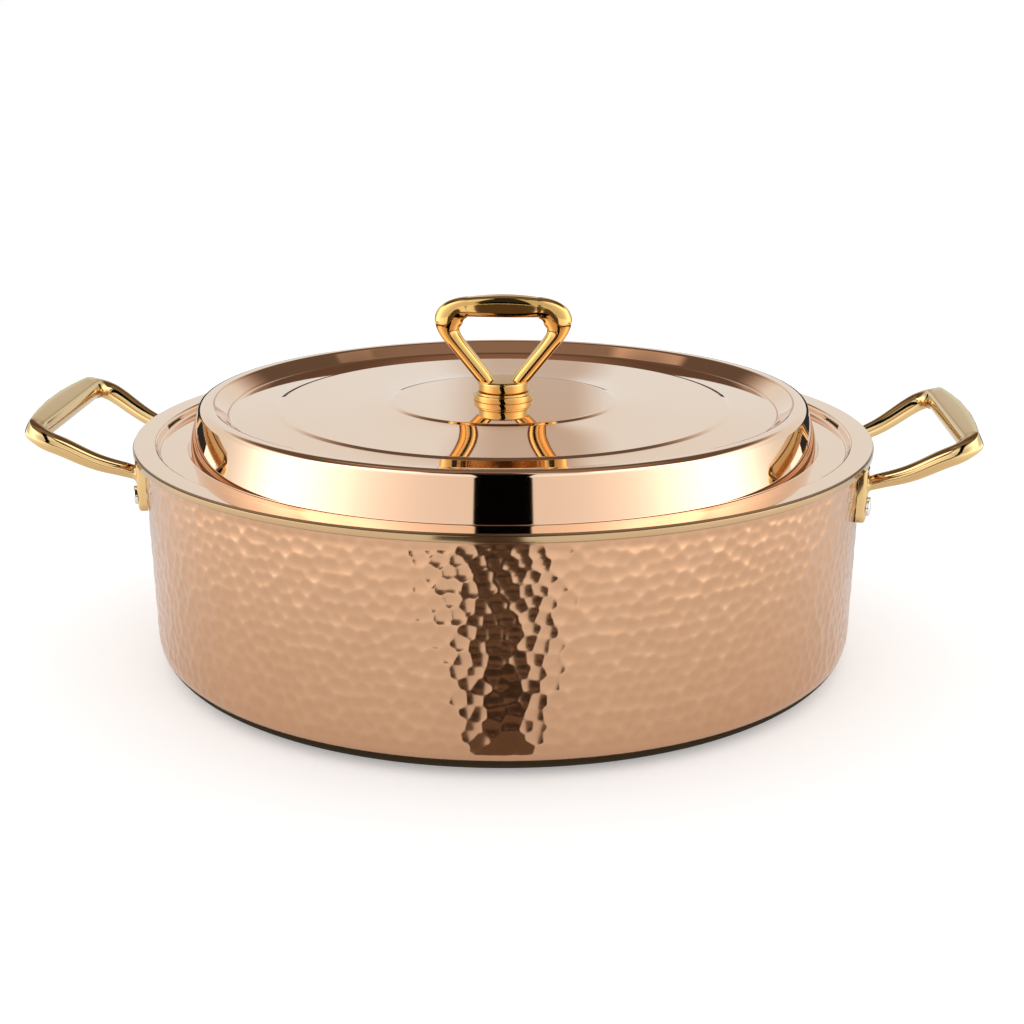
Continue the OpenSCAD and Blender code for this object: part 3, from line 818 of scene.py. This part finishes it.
def handle_solid(pan, handle):
    """The handle on +X: two feet and the swept loop between them."""
    half, low, high_end, leg_up, _ = foot_sizes(pan, handle)
    leg = handle.leg / 2
    front = foot_frame(pan, handle, -handle.foot_angle)
    foot = np.array(front @ Vector((handle.foot_thick - handle.leg_sink, 0, leg_up)))
    rise = np.array([lip_radius(pan) + handle.reach - foot[0], 0, pan.height + handle.rise - foot[2]])
    along = unit(rise)
    high = np.array([-along[2], 0, along[0]])
    wide = np.array([0.0, 1.0, 0.0])
    foot_up = np.array(front.to_3x3() @ Vector((0, 0, 1)))
    foot_out = np.array(front.to_3x3() @ Vector((0, -1, 0)))
    settle, top_flare, crease_rush = 3 * leg, 0.35, 1.6
    room = half - leg - handle.foot_edge / 2
    fillet = handle.leg_fillet
    turn = once_round(96)
    c, s = np.cos(turn), np.sin(turn)
    rings = []
    line = half_loop(-foot[1], handle.half, np.linalg.norm(rise), handle.corner, grips=40)
    leg_end = next(entry[3] for entry in line[1:] if entry[2] != line[0][2])
    corner_at = corner_middle(line)
    for x, y, way, distance, grip, bow in whole_loop(line):
        side = 1 if y < 0 else -1
        outward = along * math.sin(way) - wide * math.cos(way)
        at_seat = np.array([foot_out[0], foot_out[1] * side, 0])
        t = smooth(distance / settle)
        from_face = min(fillet, max(0, distance - handle.leg_sink))
        flare = fillet - math.sqrt(fillet ** 2 - (fillet - from_face) ** 2)
        gone = min(1, distance / leg_end)
        dip = handle.leg_dip * math.sin(math.pi * gone) ** 2
        fill = handle.corner_fill * math.exp(-((distance - corner_at) / handle.corner) ** 2)
        thick = leg + handle.leg_taper / 2 * smooth(gone)
        width = thick + (handle.grip / 2 - thick) * smooth(grip) + max(0, min(flare, room))
        out, inner = width + handle.bow * bow, width + fill
        high_half = np.where(s > 0, thick + flare * top_flare, thick + flare)
        round_x = c * np.where(c > 0, out, inner)
        round_y = s * high_half
        reach = grip_reach(turn, out, inner, thick, handle)
        creased = smooth(1 + (grip - 1) * crease_rush)
        ring_x = round_x + (reach * c - round_x) * creased
        ring_y = round_y + (reach * s - round_y) * creased
        middle = np.array([foot[0], 0, foot[2] - dip]) + along * x + wide * y
        across, up = unit(at_seat + (outward - at_seat) * t), unit(foot_up + (high - foot_up) * t)
        rings.append(middle + np.outer(ring_x, across) + np.outer(ring_y, up))
    outline = rounded([
        (0, low, 0), (half, low, handle.foot_round), (half, high_end, handle.foot_edge), (0, high_end, 0)])
    outline = outline + [point * (-1, 1) for point in outline[-2:0:-1]]
    feet = []
    for bearing in (handle.foot_angle, -handle.foot_angle):
        foot_plate = plate(outline, handle.foot_thick, handle.foot_edge)
        feet.append(moved(foot_plate, foot_frame(pan, handle, bearing)))
    return joined(sweep(rings), *feet)


def rivet_solid(pan, handle):
    """A rivet along Z, with its outer head's seat at zero and its tail inside the pan."""
    play, brim_share, cap_turn, cap_rings = 4e-5, 0.68, 1.2, 14
    sheet = sheet_thick(pan)
    tail, head, shank = handle.tail / 2, handle.head / 2, handle.shank / 2
    mouth = pan.base_radius + pan.splay - sheet
    seat = -handle.foot_thick - sheet - tail ** 2 / (2 * mouth) - play
    tail_end = seat - handle.tail_height
    brim = handle.head_height * brim_share
    cap = [
        (head * math.sin(t), brim + (handle.head_height - brim) * math.cos(t))
        for t in np.linspace(cap_turn, 0, cap_rings)]
    profile = rounded([
        (0, tail_end, 0), (tail, tail_end, handle.tail_height / 2), (tail, seat, 0), (shank, seat, 0),
        (shank, 0, 0), (head, 0, 0), (head, brim, head - cap[0][0]), cap[0] + (0.0,)])
    return spin(profile + [np.array(p) for p in cap[1:]], turns=96)


def knob_solid(pan, lid, knob):
    """The knob: neck, two leaning legs and an arched bar."""
    disc = lid_heights(pan, lid)[3]
    collar_top = disc + knob.collar_height
    neck_top = collar_top + knob.neck_height
    neck, spigot = knob.neck / 2, knob.spigot / 2
    edge, hole_play = 0.001, 5e-5
    outer_reach, inner_fill, side_fill = 0.65, 0.9, 0.35
    hole = knob.screw / 2 + hole_play
    hole_top = disc + knob.screw_grip + knob.screw / 4
    base = spin(rounded([
        (0, hole_top, 0), (hole, hole_top, 0), (hole, disc, 0), (spigot, disc, 0), (spigot, collar_top, 0),
        (neck, collar_top, edge), (neck, neck_top, edge),
        (neck - knob.saddle, neck_top + knob.saddle, edge / 2), (0, neck_top + knob.saddle, 0)]), turns=160)
    foot_z = neck_top - knob.leg_sink
    tall = collar_top + knob.bar_up - foot_z
    line = half_loop((knob.leg_width + knob.leg_gap) / 2, knob.bar_half, tall, knob.corner)
    corner_at = corner_middle(line)
    rings = []
    for x, y, way, distance, grip, _ in whole_loop(line):
        eased = smooth(grip)
        off = (distance - corner_at) / knob.corner
        fill = knob.corner_fill * math.exp(-(off / outer_reach) ** 2)
        inside = knob.corner_fill * inner_fill * math.exp(-off ** 2)
        lift = eased * max(0, 1 - knob.arch_fall * (y / knob.bar_half) ** 2)
        width = (knob.leg_width + (knob.bar_width - knob.leg_width) * eased) / 2
        thick = (knob.leg_thick + knob.swell * lift + side_fill * fill) / 2
        t = smooth(distance / knob.leg_width)
        at_neck = np.array([math.copysign(1, y), 0, 0])
        outward = np.array([-math.cos(way), 0, math.sin(way)])
        rings.append(ring(
            np.array([y, 0, foot_z + x]), unit(at_neck + (outward - at_neck) * t), np.array([0.0, 1.0, 0.0]),
            width + fill + knob.arch * lift, width + inside, thick, 2 + knob.square * lift))
    return joined(base, sweep(rings))


def collar_solid(pan, lid, knob):
    """The stepped ring between the lid and the knob."""
    edge, bore_play = 0.0006, 1e-4
    disc = lid_heights(pan, lid)[3]
    top = disc + knob.collar_height
    shoulder = top - knob.collar_height / 4
    wide, bore = knob.collar / 2, knob.spigot / 2 + bore_play
    upper = (knob.collar + knob.neck) / 4
    return spin(rounded([
        (bore, disc, 0), (wide, disc, edge / 2), (wide, shoulder, edge), (upper, shoulder, edge / 2),
        (upper, top, edge / 2), (bore, top, 0)]), turns=200)


def screw_solid(pan, lid, knob):
    """The screw under the lid, with a star recess in its head."""
    tip, well_share, well_depth, well_draft = 0.0005, 0.42, 0.45, 0.9
    points_of_star, lobe, slack = 6, 0.13, 1e-6
    disc = lid_heights(pan, lid)[3]
    seat = disc - lid.sheet - knob.washers
    head, shank = knob.screw_head / 2, knob.screw / 2
    low, top = seat - knob.screw_head_height, disc + knob.screw_grip
    well, floor = head * well_share, low + knob.screw_head_height * well_depth
    profile = rounded([
        (0, floor, 0), (well * well_draft, floor, 0), (well, low, 0), (head, low, knob.screw_head_height / 2),
        (head, seat, 0), (shank, seat, 0), (shank, top - tip, 0), (shank - tip, top, 0), (0, top, 0)])
    points, faces = spin(profile, turns=96)
    in_well = (np.hypot(points[:, 0], points[:, 1]) < well + slack) & (points[:, 2] < floor + slack)
    lobes = 1 + lobe * np.cos(points_of_star * np.arctan2(points[:, 1], points[:, 0]))
    points[in_well, :2] *= lobes[in_well, None]
    return points, faces


class SERVING_PAN_OT_wall(bpy.types.Operator):
    """Builds the hammered copper shell"""

    bl_idname = "serving_pan.wall"
    bl_label = "Hammered shell"

    def execute(self, context):
        settings = context.scene.serving_pan
        pan, finish = settings.pan, settings.finish
        corner_top, lip_slack, lip_band = 0.004, 1e-4, 0.0012
        lip_z = pan_outline(pan)[2][1]
        outer = lip_radius(pan)
        outline = pan_outline(pan)[:3] + [
            (outer, lip_z, pan.lip_edge), (outer, pan.height, pan.lip_edge / 3),
            (outer - pan.shell, pan.height, 0.0)]
        path = finer(rounded(outline), pan.grid, corner_top, lip_z - pan.lip_bend / 2)
        ways = np.gradient(path, axis=0)
        ways /= np.linalg.norm(ways, axis=1)[:, None]
        bearing = once_round(pan.turns)
        along = np.concatenate([[0], np.cumsum(np.linalg.norm(np.diff(path, axis=0), axis=1))])
        depth = hammer_blows(along, bearing, 2 * math.pi * pan.base_radius, pan)
        height = path[:, 1]
        low = smooth((height - pan.smooth_base) / pan.blow_fade)
        high = smooth((lip_z - pan.smooth_top - height) / pan.blow_fade)
        wall = (path[:, 0] < pan.base_radius + pan.splay + lip_slack) * low * high
        depth *= wall[:, None]
        radius = path[:, :1] - ways[:, 1:] * depth
        level = path[:, 1:] + ways[:, :1] * depth
        points = np.stack([radius * np.cos(bearing), radius * np.sin(bearing), level], axis=-1)
        faces = grid_faces(len(path), pan.turns, closed=False)
        copper = hammered("hammered_copper_painted_shade", finish.copper, finish.copper_cloud_and_blow_shade, roughness=0.13)
        # The lip gets its own darker copper: painted shade under the lid's flange.
        lip = polished(
            "lip_copper_painted_shade", finish.lip, finish.lip_deep, roughness=0.12, cloud=40.0, grain=900.0, depth=2e-6)
        on_lip = np.repeat((path[:-1, 0] > outer - lip_band).astype(int), pan.turns)
        solid = points.reshape(-1, 3), faces
        piece = add_piece("hammered_shell", solid, "pan", ["pan_shell"], [copper, lip], on_lip)
        # Each point keeps the depth of its blow; the copper material turns it into painted shade and
        # highlight.
        blow = piece.data.attributes.new("blow", "FLOAT", "POINT")
        blow.data.foreach_set("value", (depth / max(depth.max(), 1e-9)).ravel())
        return {"FINISHED"}


class SERVING_PAN_OT_lining(bpy.types.Operator):
    """Builds the satin lining and dresses the core under it"""

    bl_idname = "serving_pan.lining"
    bl_label = "Lining and core"

    def execute(self, context):
        settings = context.scene.serving_pan
        pan, finish = settings.pan, settings.finish
        outline = pan_outline(pan)
        outline[-1] = (lip_radius(pan) - pan.shell, *outline[-1][1:])
        under = rounded(beside(outline, pan.shell + pan.core))
        inside = rounded(beside(outline, sheet_thick(pan)))
        steel = spun("spun_lining", finish.lining, finish.lining_deep, roughness=0.26, spacing=0.0012)
        solid = spin(under + inside[::-1], turns=480)
        add_piece("spun_lining", solid, "pan", ["pan_liner"], [steel])
        core = spun("rolled_core", finish.core, finish.core_deep, roughness=0.35, spacing=0.002)
        dress(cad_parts["pan_core"], core)
        return {"FINISHED"}


class SERVING_PAN_OT_lid(bpy.types.Operator):
    """Builds the stamped lid: mirror outside, satin inside"""

    bl_idname = "serving_pan.lid"
    bl_label = "Lid"

    def execute(self, context):
        settings = context.scene.serving_pan
        lid, finish = settings.lid, settings.finish
        outline = lid_outline(settings.pan, lid)
        top = rounded(outline, FINE_BEND_STEP)
        under = rounded(beside(outline, -lid.sheet), FINE_BEND_STEP)
        solid = spin(top + under[::-1], lid.turns)
        rows = len(top) + len(under)
        row = np.arange(rows)
        # Faces of the underside take the satin, the sheet's cut edge at the flange takes the painted shade,
        # the rest the mirror.
        kinds = np.repeat((row < len(under) - 1) + 2 * (row == len(under) - 1), lid.turns)
        mirror = polished(
            "rose_mirror", finish.rose, finish.rose_deep,
            roughness=0.035, cloud=26.0, grain=700.0, depth=1.2e-6)
        satin = spun("lid_inside", finish.lining, finish.lining_deep, roughness=0.24, spacing=0.0011)
        # The cut edge is real and duller; its nearly black colour is painted shade of the seam over the lip.
        cut_edge_shade = polished(
            "cut_edge_painted_shade", finish.cut_edge_shade, finish.cut_edge_shade_deep, roughness=0.3, cloud=60.0, grain=900.0, depth=3e-6)
        add_piece("stamped_lid", solid, "lid", ["lid_shell"], [mirror, satin, cut_edge_shade], kinds)
        return {"FINISHED"}


class SERVING_PAN_OT_handles(bpy.types.Operator):
    """Casts both side handles"""

    bl_idname = "serving_pan.handles"
    bl_label = "Side handles"

    def execute(self, context):
        settings = context.scene.serving_pan
        finish = settings.finish
        gold = polished(
            "cast_gold", finish.pale_gold, finish.pale_gold_deep,
            roughness=0.07, cloud=70.0, grain=800.0, depth=1.5e-6)
        points, faces = handle_solid(settings.pan, settings.handle)
        add_piece("cast_handle_right", (points, faces), "pan", ["handle_right"], [gold])
        mirrored = [(-x, y, z) for x, y, z in points]
        flipped = [face[::-1] for face in faces]
        add_piece("cast_handle_left", (mirrored, flipped), "pan", ["handle_left"], [gold])
        return {"FINISHED"}


class SERVING_PAN_OT_rivets(bpy.types.Operator):
    """Sets the four rivets"""

    bl_idname = "serving_pan.rivets"
    bl_label = "Rivets"

    def execute(self, context):
        settings = context.scene.serving_pan
        pan, handle, finish = settings.pan, settings.handle, settings.finish
        pale = polished(
            "rivet_metal", finish.rivet, finish.rivet_deep,
            roughness=0.12, cloud=300.0, grain=2400.0, depth=3e-6)
        foot = handle.foot_angle
        bearings = {
            "right_back": foot,
            "right_front": -foot,
            "left_front": math.pi + foot,
            "left_back": math.pi - foot,
        }
        solid = rivet_solid(pan, handle)
        for place, bearing in bearings.items():
            seat = foot_frame(pan, handle, bearing) @ Matrix.Translation((handle.foot_thick, 0, 0))
            set_rivet = moved(solid, seat @ Matrix.Rotation(math.pi / 2, 4, "Y"))
            add_piece(f"set_rivet_{place}", set_rivet, "pan", [f"rivet_{place}"], [pale])
        return {"FINISHED"}


class SERVING_PAN_OT_knob(bpy.types.Operator):
    """Casts the knob, turns its collar and dresses its screw and washers"""

    bl_idname = "serving_pan.knob"
    bl_label = "Knob"

    def execute(self, context):
        settings = context.scene.serving_pan
        pan, lid, knob, finish = settings.pan, settings.lid, settings.knob, settings.finish
        gold = polished(
            "knob_gold", finish.gold, finish.gold_deep, roughness=0.06, cloud=90.0, grain=900.0, depth=1e-6)
        add_piece("cast_knob", knob_solid(pan, lid, knob), "lid", ["knob_loop"], [gold])
        add_piece("turned_collar", collar_solid(pan, lid, knob), "lid", ["knob_collar"], [gold])
        steel = polished(
            "bright_steel", finish.hardware, finish.hardware_deep,
            roughness=0.2, cloud=400.0, grain=3000.0, depth=3e-6)
        add_piece("star_screw", screw_solid(pan, lid, knob), "lid", ["knob_screw"], [steel])
        for washer in ("knob_washer", "knob_spring_washer"):
            dress(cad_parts[washer], steel)
        return {"FINISHED"}


def add_card(name, corners, material, only_mirrored=True):
    """A flat stage card; a mirrored card is seen only in the metal."""
    mesh = bpy.data.meshes.new(name)
    mesh.from_pydata([tuple(c) for c in corners], [], [tuple(range(len(corners)))])
    mesh.materials.append(material)
    card = bpy.data.objects.new(name, mesh)
    bpy.context.scene.collection.objects.link(card)
    if only_mirrored:
        card.visible_camera = False
        card.visible_diffuse = False
        card.visible_shadow = False
        card.visible_transmission = False
        card.visible_volume_scatter = False


class SERVING_PAN_OT_stage(bpy.types.Operator):
    """Lays the floor, lights the studio and sets the camera"""

    bl_idname = "serving_pan.stage"
    bl_label = "Studio"

    def execute(self, context):
        scene = context.scene
        studio, pan = scene.serving_pan.studio, scene.serving_pan.pan
        self.light_world(scene, studio)
        self.lay_floor(studio)
        self.hang_flags(studio, pan)
        self.set_camera(scene, studio)
        scene.view_settings.view_transform = "Standard"
        return {"FINISHED"}

    def light_world(self, scene, studio):
        """Even white light for all but the metal, which mirrors a room with lamps and dark parts."""
        world = bpy.data.worlds.new("studio")
        scene.world = world
        shader = Shader(world)
        way = shader.term("ShaderNodeTexCoord", "Generated")
        turn = {"Vector": way, "Angle": -studio.azimuth}
        x, y, z = shader.parts(shader.term("ShaderNodeVectorRotate", 0, {"rotation_type": "Z_AXIS"}, turn))
        level = flat_length(x, y).at_least(TINY)
        aside = x / level
        ahead = y / level * -1.0
        front = y * -1.0
        # Round the pan: a plain surround with two side lamps, and a darker band straight behind.
        wider = shader.ease(ahead, *studio.lamp_front).at_least(shader.ease(z, *studio.lamp_high))
        spread = studio.lamp_spread + studio.lamp_wider * wider
        lamps = studio.side_glow * ahead.bell(studio.lamp_ahead, spread)
        behind = 1.0 - shader.ease(ahead, *studio.back_edge)
        band_left = shader.ease(aside, *studio.band_left)
        band = band_left * (1.0 - shader.ease(aside, *studio.band_right)) * behind
        plain = studio.front_glow + (studio.back_glow - studio.front_glow) * behind
        high = shader.ease(z, *studio.high_up) * shader.ease(front, *studio.high_front)
        wall = (plain + lamps) * (1.0 - studio.back_band * band) * (1.0 + studio.high_glow * high)
        # Overhead: a dark ceiling with two soft patches.
        along = y - studio.patch_back
        slant = abs(x) - studio.patch_aside - studio.patch_slant * along
        size = 1.0 - studio.patch_less * shader.ease(x, *studio.patch_turn)
        long_side = 1.0 - shader.ease(abs(slant), *studio.patch_side)
        short_side = 1.0 - shader.ease(abs(along) / size, *studio.patch_end)
        patch = size * long_side * short_side
        above = shader.ease(z, *studio.top_edge)
        ceiling = studio.top_dark + studio.top_glow * above + studio.patch_glow * patch
        raised = studio.cover_front * shader.ease(front, *studio.cover_turn)
        covered = shader.ease(z - studio.cover_side * x * x - raised, *studio.cover)
        room = wall + (ceiling - wall) * covered
        # In front: a tall dark card.
        upright = shader.ease(z, *studio.flag_lean)
        off_card = abs(x + studio.flag_aside - studio.flag_aside * upright)
        off_card = off_card + studio.flag_narrow * shader.ease(z, *studio.flag_high)
        flag = (1.0 - shader.ease(off_card, *studio.flag_side)) * shader.ease(ahead, *studio.flag_front)
        room = room + (studio.flag_dark - room) * flag
        mirrored = shader.term("ShaderNodeLightPath", "Is Glossy Ray")
        strength = 1.0 + mirrored * (room - 1.0)
        white = shader.blend(mirrored * behind, (1.0, 1.0, 1.0), studio.back_tint)
        white = shader.blend(mirrored * band, white, studio.band_tint)
        white = shader.blend(mirrored * high, white, studio.high_tint)
        white = shader.blend(mirrored * covered, white, studio.top_tint)
        light = shader.term("ShaderNodeBackground", 0, None, {"Color": white, "Strength": strength})
        shader.node("ShaderNodeOutputWorld", None, {"Surface": light})

    def lay_floor(self, studio):
        """A pale floor that reads white and keeps the shadow; for the metal alone it carries painted light
        and shade: a glow far off to the sides, brighter farther off, darker behind.
        """
        material, shader = start_material("floor")
        path = shader.node("ShaderNodeLightPath")
        rays = ("Is Camera Ray", "Is Glossy Ray", "Is Transmission Ray")
        camera, glossy, clear = (Term(shader, path.outputs[name]) for name in rays)
        x, y, _ = shader.parts(shader.place())
        reach = flat_length(x, y).at_least(TINY)
        # Painted light seen only in the metal: a glow far off to the sides in place of the side lamps' light,
        # a slope from darker near the pan to brighter far off, and painted shade behind.
        lamps = shader.ease(reach, *studio.floor_far) * (x * x) / (reach * reach)
        slope = shader.ease(reach, *studio.floor_near) - 0.5
        lift = studio.floor_lift * (camera + glossy + clear)
        lift = lift + glossy * (studio.far_floor_painted_glow * lamps + studio.floor_painted_slope * slope)
        lift = lift - glossy * studio.back_floor_painted_shade * shader.ease(y, *studio.floor_back)
        white = studio.floor_white
        inputs = {
            "Base Color": (white, white, white, 1.0), "Roughness": 1.0, "Specular IOR Level": 0.0,
            "Emission Color": shader.term("ShaderNodeCombineXYZ", 0, None, {0: lift, 1: lift, 2: lift}),
            "Emission Strength": 1.0}
        surface = shader.term("ShaderNodeBsdfPrincipled", 0, None, inputs)
        shader.node("ShaderNodeOutputMaterial", None, {"Surface": surface})
        far, low = 30.0, -2e-4
        corners = [(-far, -far, low), (far, -far, low), (far, far, low), (-far, far, low)]
        add_card("floor", corners, material, only_mirrored=False)

    def hang_flags(self, studio, pan):
        """Dark and light cards that only the metal mirrors."""
        turn = Matrix.Rotation(studio.azimuth, 3, "Z")
        self.lay_strips(studio, pan, turn)
        self.hang_knob_cards(studio)
        self.stand_side_shades(turn)
        self.shade_base(pan)

    def shade_base(self, pan):
        """A dark disc under the base, which the round base corner mirrors."""
        inset, lift, corners = 0.0015, 3e-4, 128
        rim = pan.base_radius - inset
        disc = [(rim * math.cos(t), rim * math.sin(t), lift) for t in once_round(corners)]
        add_card("base_shade", disc, plain_card("base_shade", (0.05, 0.05, 0.04)))

    def lay_strips(self, studio, pan, turn):
        """The dark strip on the floor in front: uneven beside the pan, even and bent farther off."""
        gap, lift, tones = 0.006, 2e-4, (1.5, 0.5, 1.6, 0.4, 1.5, 0.6)
        near, middle, far = pan.base_radius + gap, 0.42, 6.0
        spread, far_wider = math.tan(studio.flag_half), 1.1
        bend = math.tan(math.radians(6))
        left, right = bend + far_wider * spread, far_wider * spread - bend
        far_strip = [
            (-middle * left, middle), (middle * right, middle), (far * right, far), (-far * left, far)]
        strips = [(far_strip, plain_card("flag", studio.strip_dark))]
        reaches = np.linspace(near, middle, len(tones) + 1)
        for start, end, tone in zip(reaches, reaches[1:], tones):
            wide, wider = (studio.strip_half + (reach - near) * spread for reach in (start, end))
            level = [tone * part for part in studio.strip_dark]
            near_strip = [(-wide, start), (wide, start), (wider, end), (-wider, end)]
            strips.append((near_strip, plain_card(f"strip_{len(strips)}", level)))
        for number, (strip, material) in enumerate(strips):
            add_card(f"flag_{number}", [turn @ Vector((x, -reach, lift)) for x, reach in strip], material)

    def hang_knob_cards(self, studio):
        """A dark and a light card before the knob."""
        reach, low, top = -0.16, 0.185, 0.9
        left, middle, right = -0.053, 0.034, 0.08
        cards = (
            ("knob_flag", left, middle, (0.035, 0.035, 0.035)),
            ("knob_light", middle, right, (studio.front_glow,) * 3),
        )
        for name, start, end, level in cards:
            corners = [(start, reach, low), (end, reach, low), (end, reach, top), (start, reach, top)]
            add_card(name, corners, plain_card(name, level))

    def stand_side_shades(self, turn):
        """Two low dark cards behind the pan, one to each side."""
        shade = plain_card("side_shade", (0.03, 0.03, 0.03))
        ends = ((0.156, 0.734, 0.19), (0.614, 0.43, 0.115))
        for side, name in ((-1, "side_shade_left"), (1, "side_shade_right")):
            foot = [turn @ Vector((side * x, y, 0.0)) for x, y, _ in ends]
            top = [spot + Vector((0, 0, tall)) for spot, (_, _, tall) in zip(foot, ends)]
            add_card(name, [*foot, *reversed(top)], shade)

    def set_camera(self, scene, studio):
        """The camera at the photograph's viewing angle."""
        data = bpy.data.cameras.new("camera")
        camera = bpy.data.objects.new("camera", data)
        scene.collection.objects.link(camera)
        level = math.cos(studio.elevation)
        back = Vector((
            math.sin(studio.azimuth) * level, -math.cos(studio.azimuth) * level, math.sin(studio.elevation)))
        camera.location = Vector((0, 0, studio.aim)) + back * studio.distance
        camera.rotation_euler = (-back).to_track_quat("-Z", "Y").to_euler()
        data.sensor_width = 36.0
        data.lens = studio.lens
        data.shift_x = studio.shift
        data.clip_start, data.clip_end = 0.01, 100.0
        scene.camera = camera


class SERVING_PAN_PT_panel(bpy.types.Panel):
    """Sidebar panel of the serving pan"""

    bl_idname = "SERVING_PAN_PT_panel"
    bl_label = "Serving pan"
    bl_space_type = "VIEW_3D"
    bl_region_type = "UI"
    bl_category = "Serving pan"

    def draw(self, context):
        settings = context.scene.serving_pan
        for operator in OPERATORS:
            self.layout.operator(operator.bl_idname)
        for group in ("pan", "lid", "handle", "knob", "finish", "studio"):
            box = self.layout.box()
            box.label(text=group.capitalize())
            sizes = getattr(settings, group)
            for name in sizes.__annotations__:
                box.prop(sizes, name)


GROUPS = (PanSizes, LidSizes, HandleSizes, KnobSizes, Finishes, Studio, PanSettings)
OPERATORS = (
    SERVING_PAN_OT_wall, SERVING_PAN_OT_lining, SERVING_PAN_OT_lid, SERVING_PAN_OT_handles,
    SERVING_PAN_OT_rivets, SERVING_PAN_OT_knob, SERVING_PAN_OT_stage)
CLASSES = GROUPS + OPERATORS + (SERVING_PAN_PT_panel,)


def register():
    """Adds the classes and the scene's settings."""
    for item in CLASSES:
        bpy.utils.register_class(item)
    bpy.types.Scene.serving_pan = PointerProperty(type=PanSettings)


def unregister():
    """Takes them away again."""
    del bpy.types.Scene.serving_pan
    for item in reversed(CLASSES):
        bpy.utils.unregister_class(item)


def main():
    """Builds every piece and the stage."""
    register()
    bpy.ops.serving_pan.wall()
    bpy.ops.serving_pan.lining()
    bpy.ops.serving_pan.lid()
    bpy.ops.serving_pan.handles()
    bpy.ops.serving_pan.rivets()
    bpy.ops.serving_pan.knob()
    bpy.ops.serving_pan.stage()


if __name__ == "__main__":
    main()
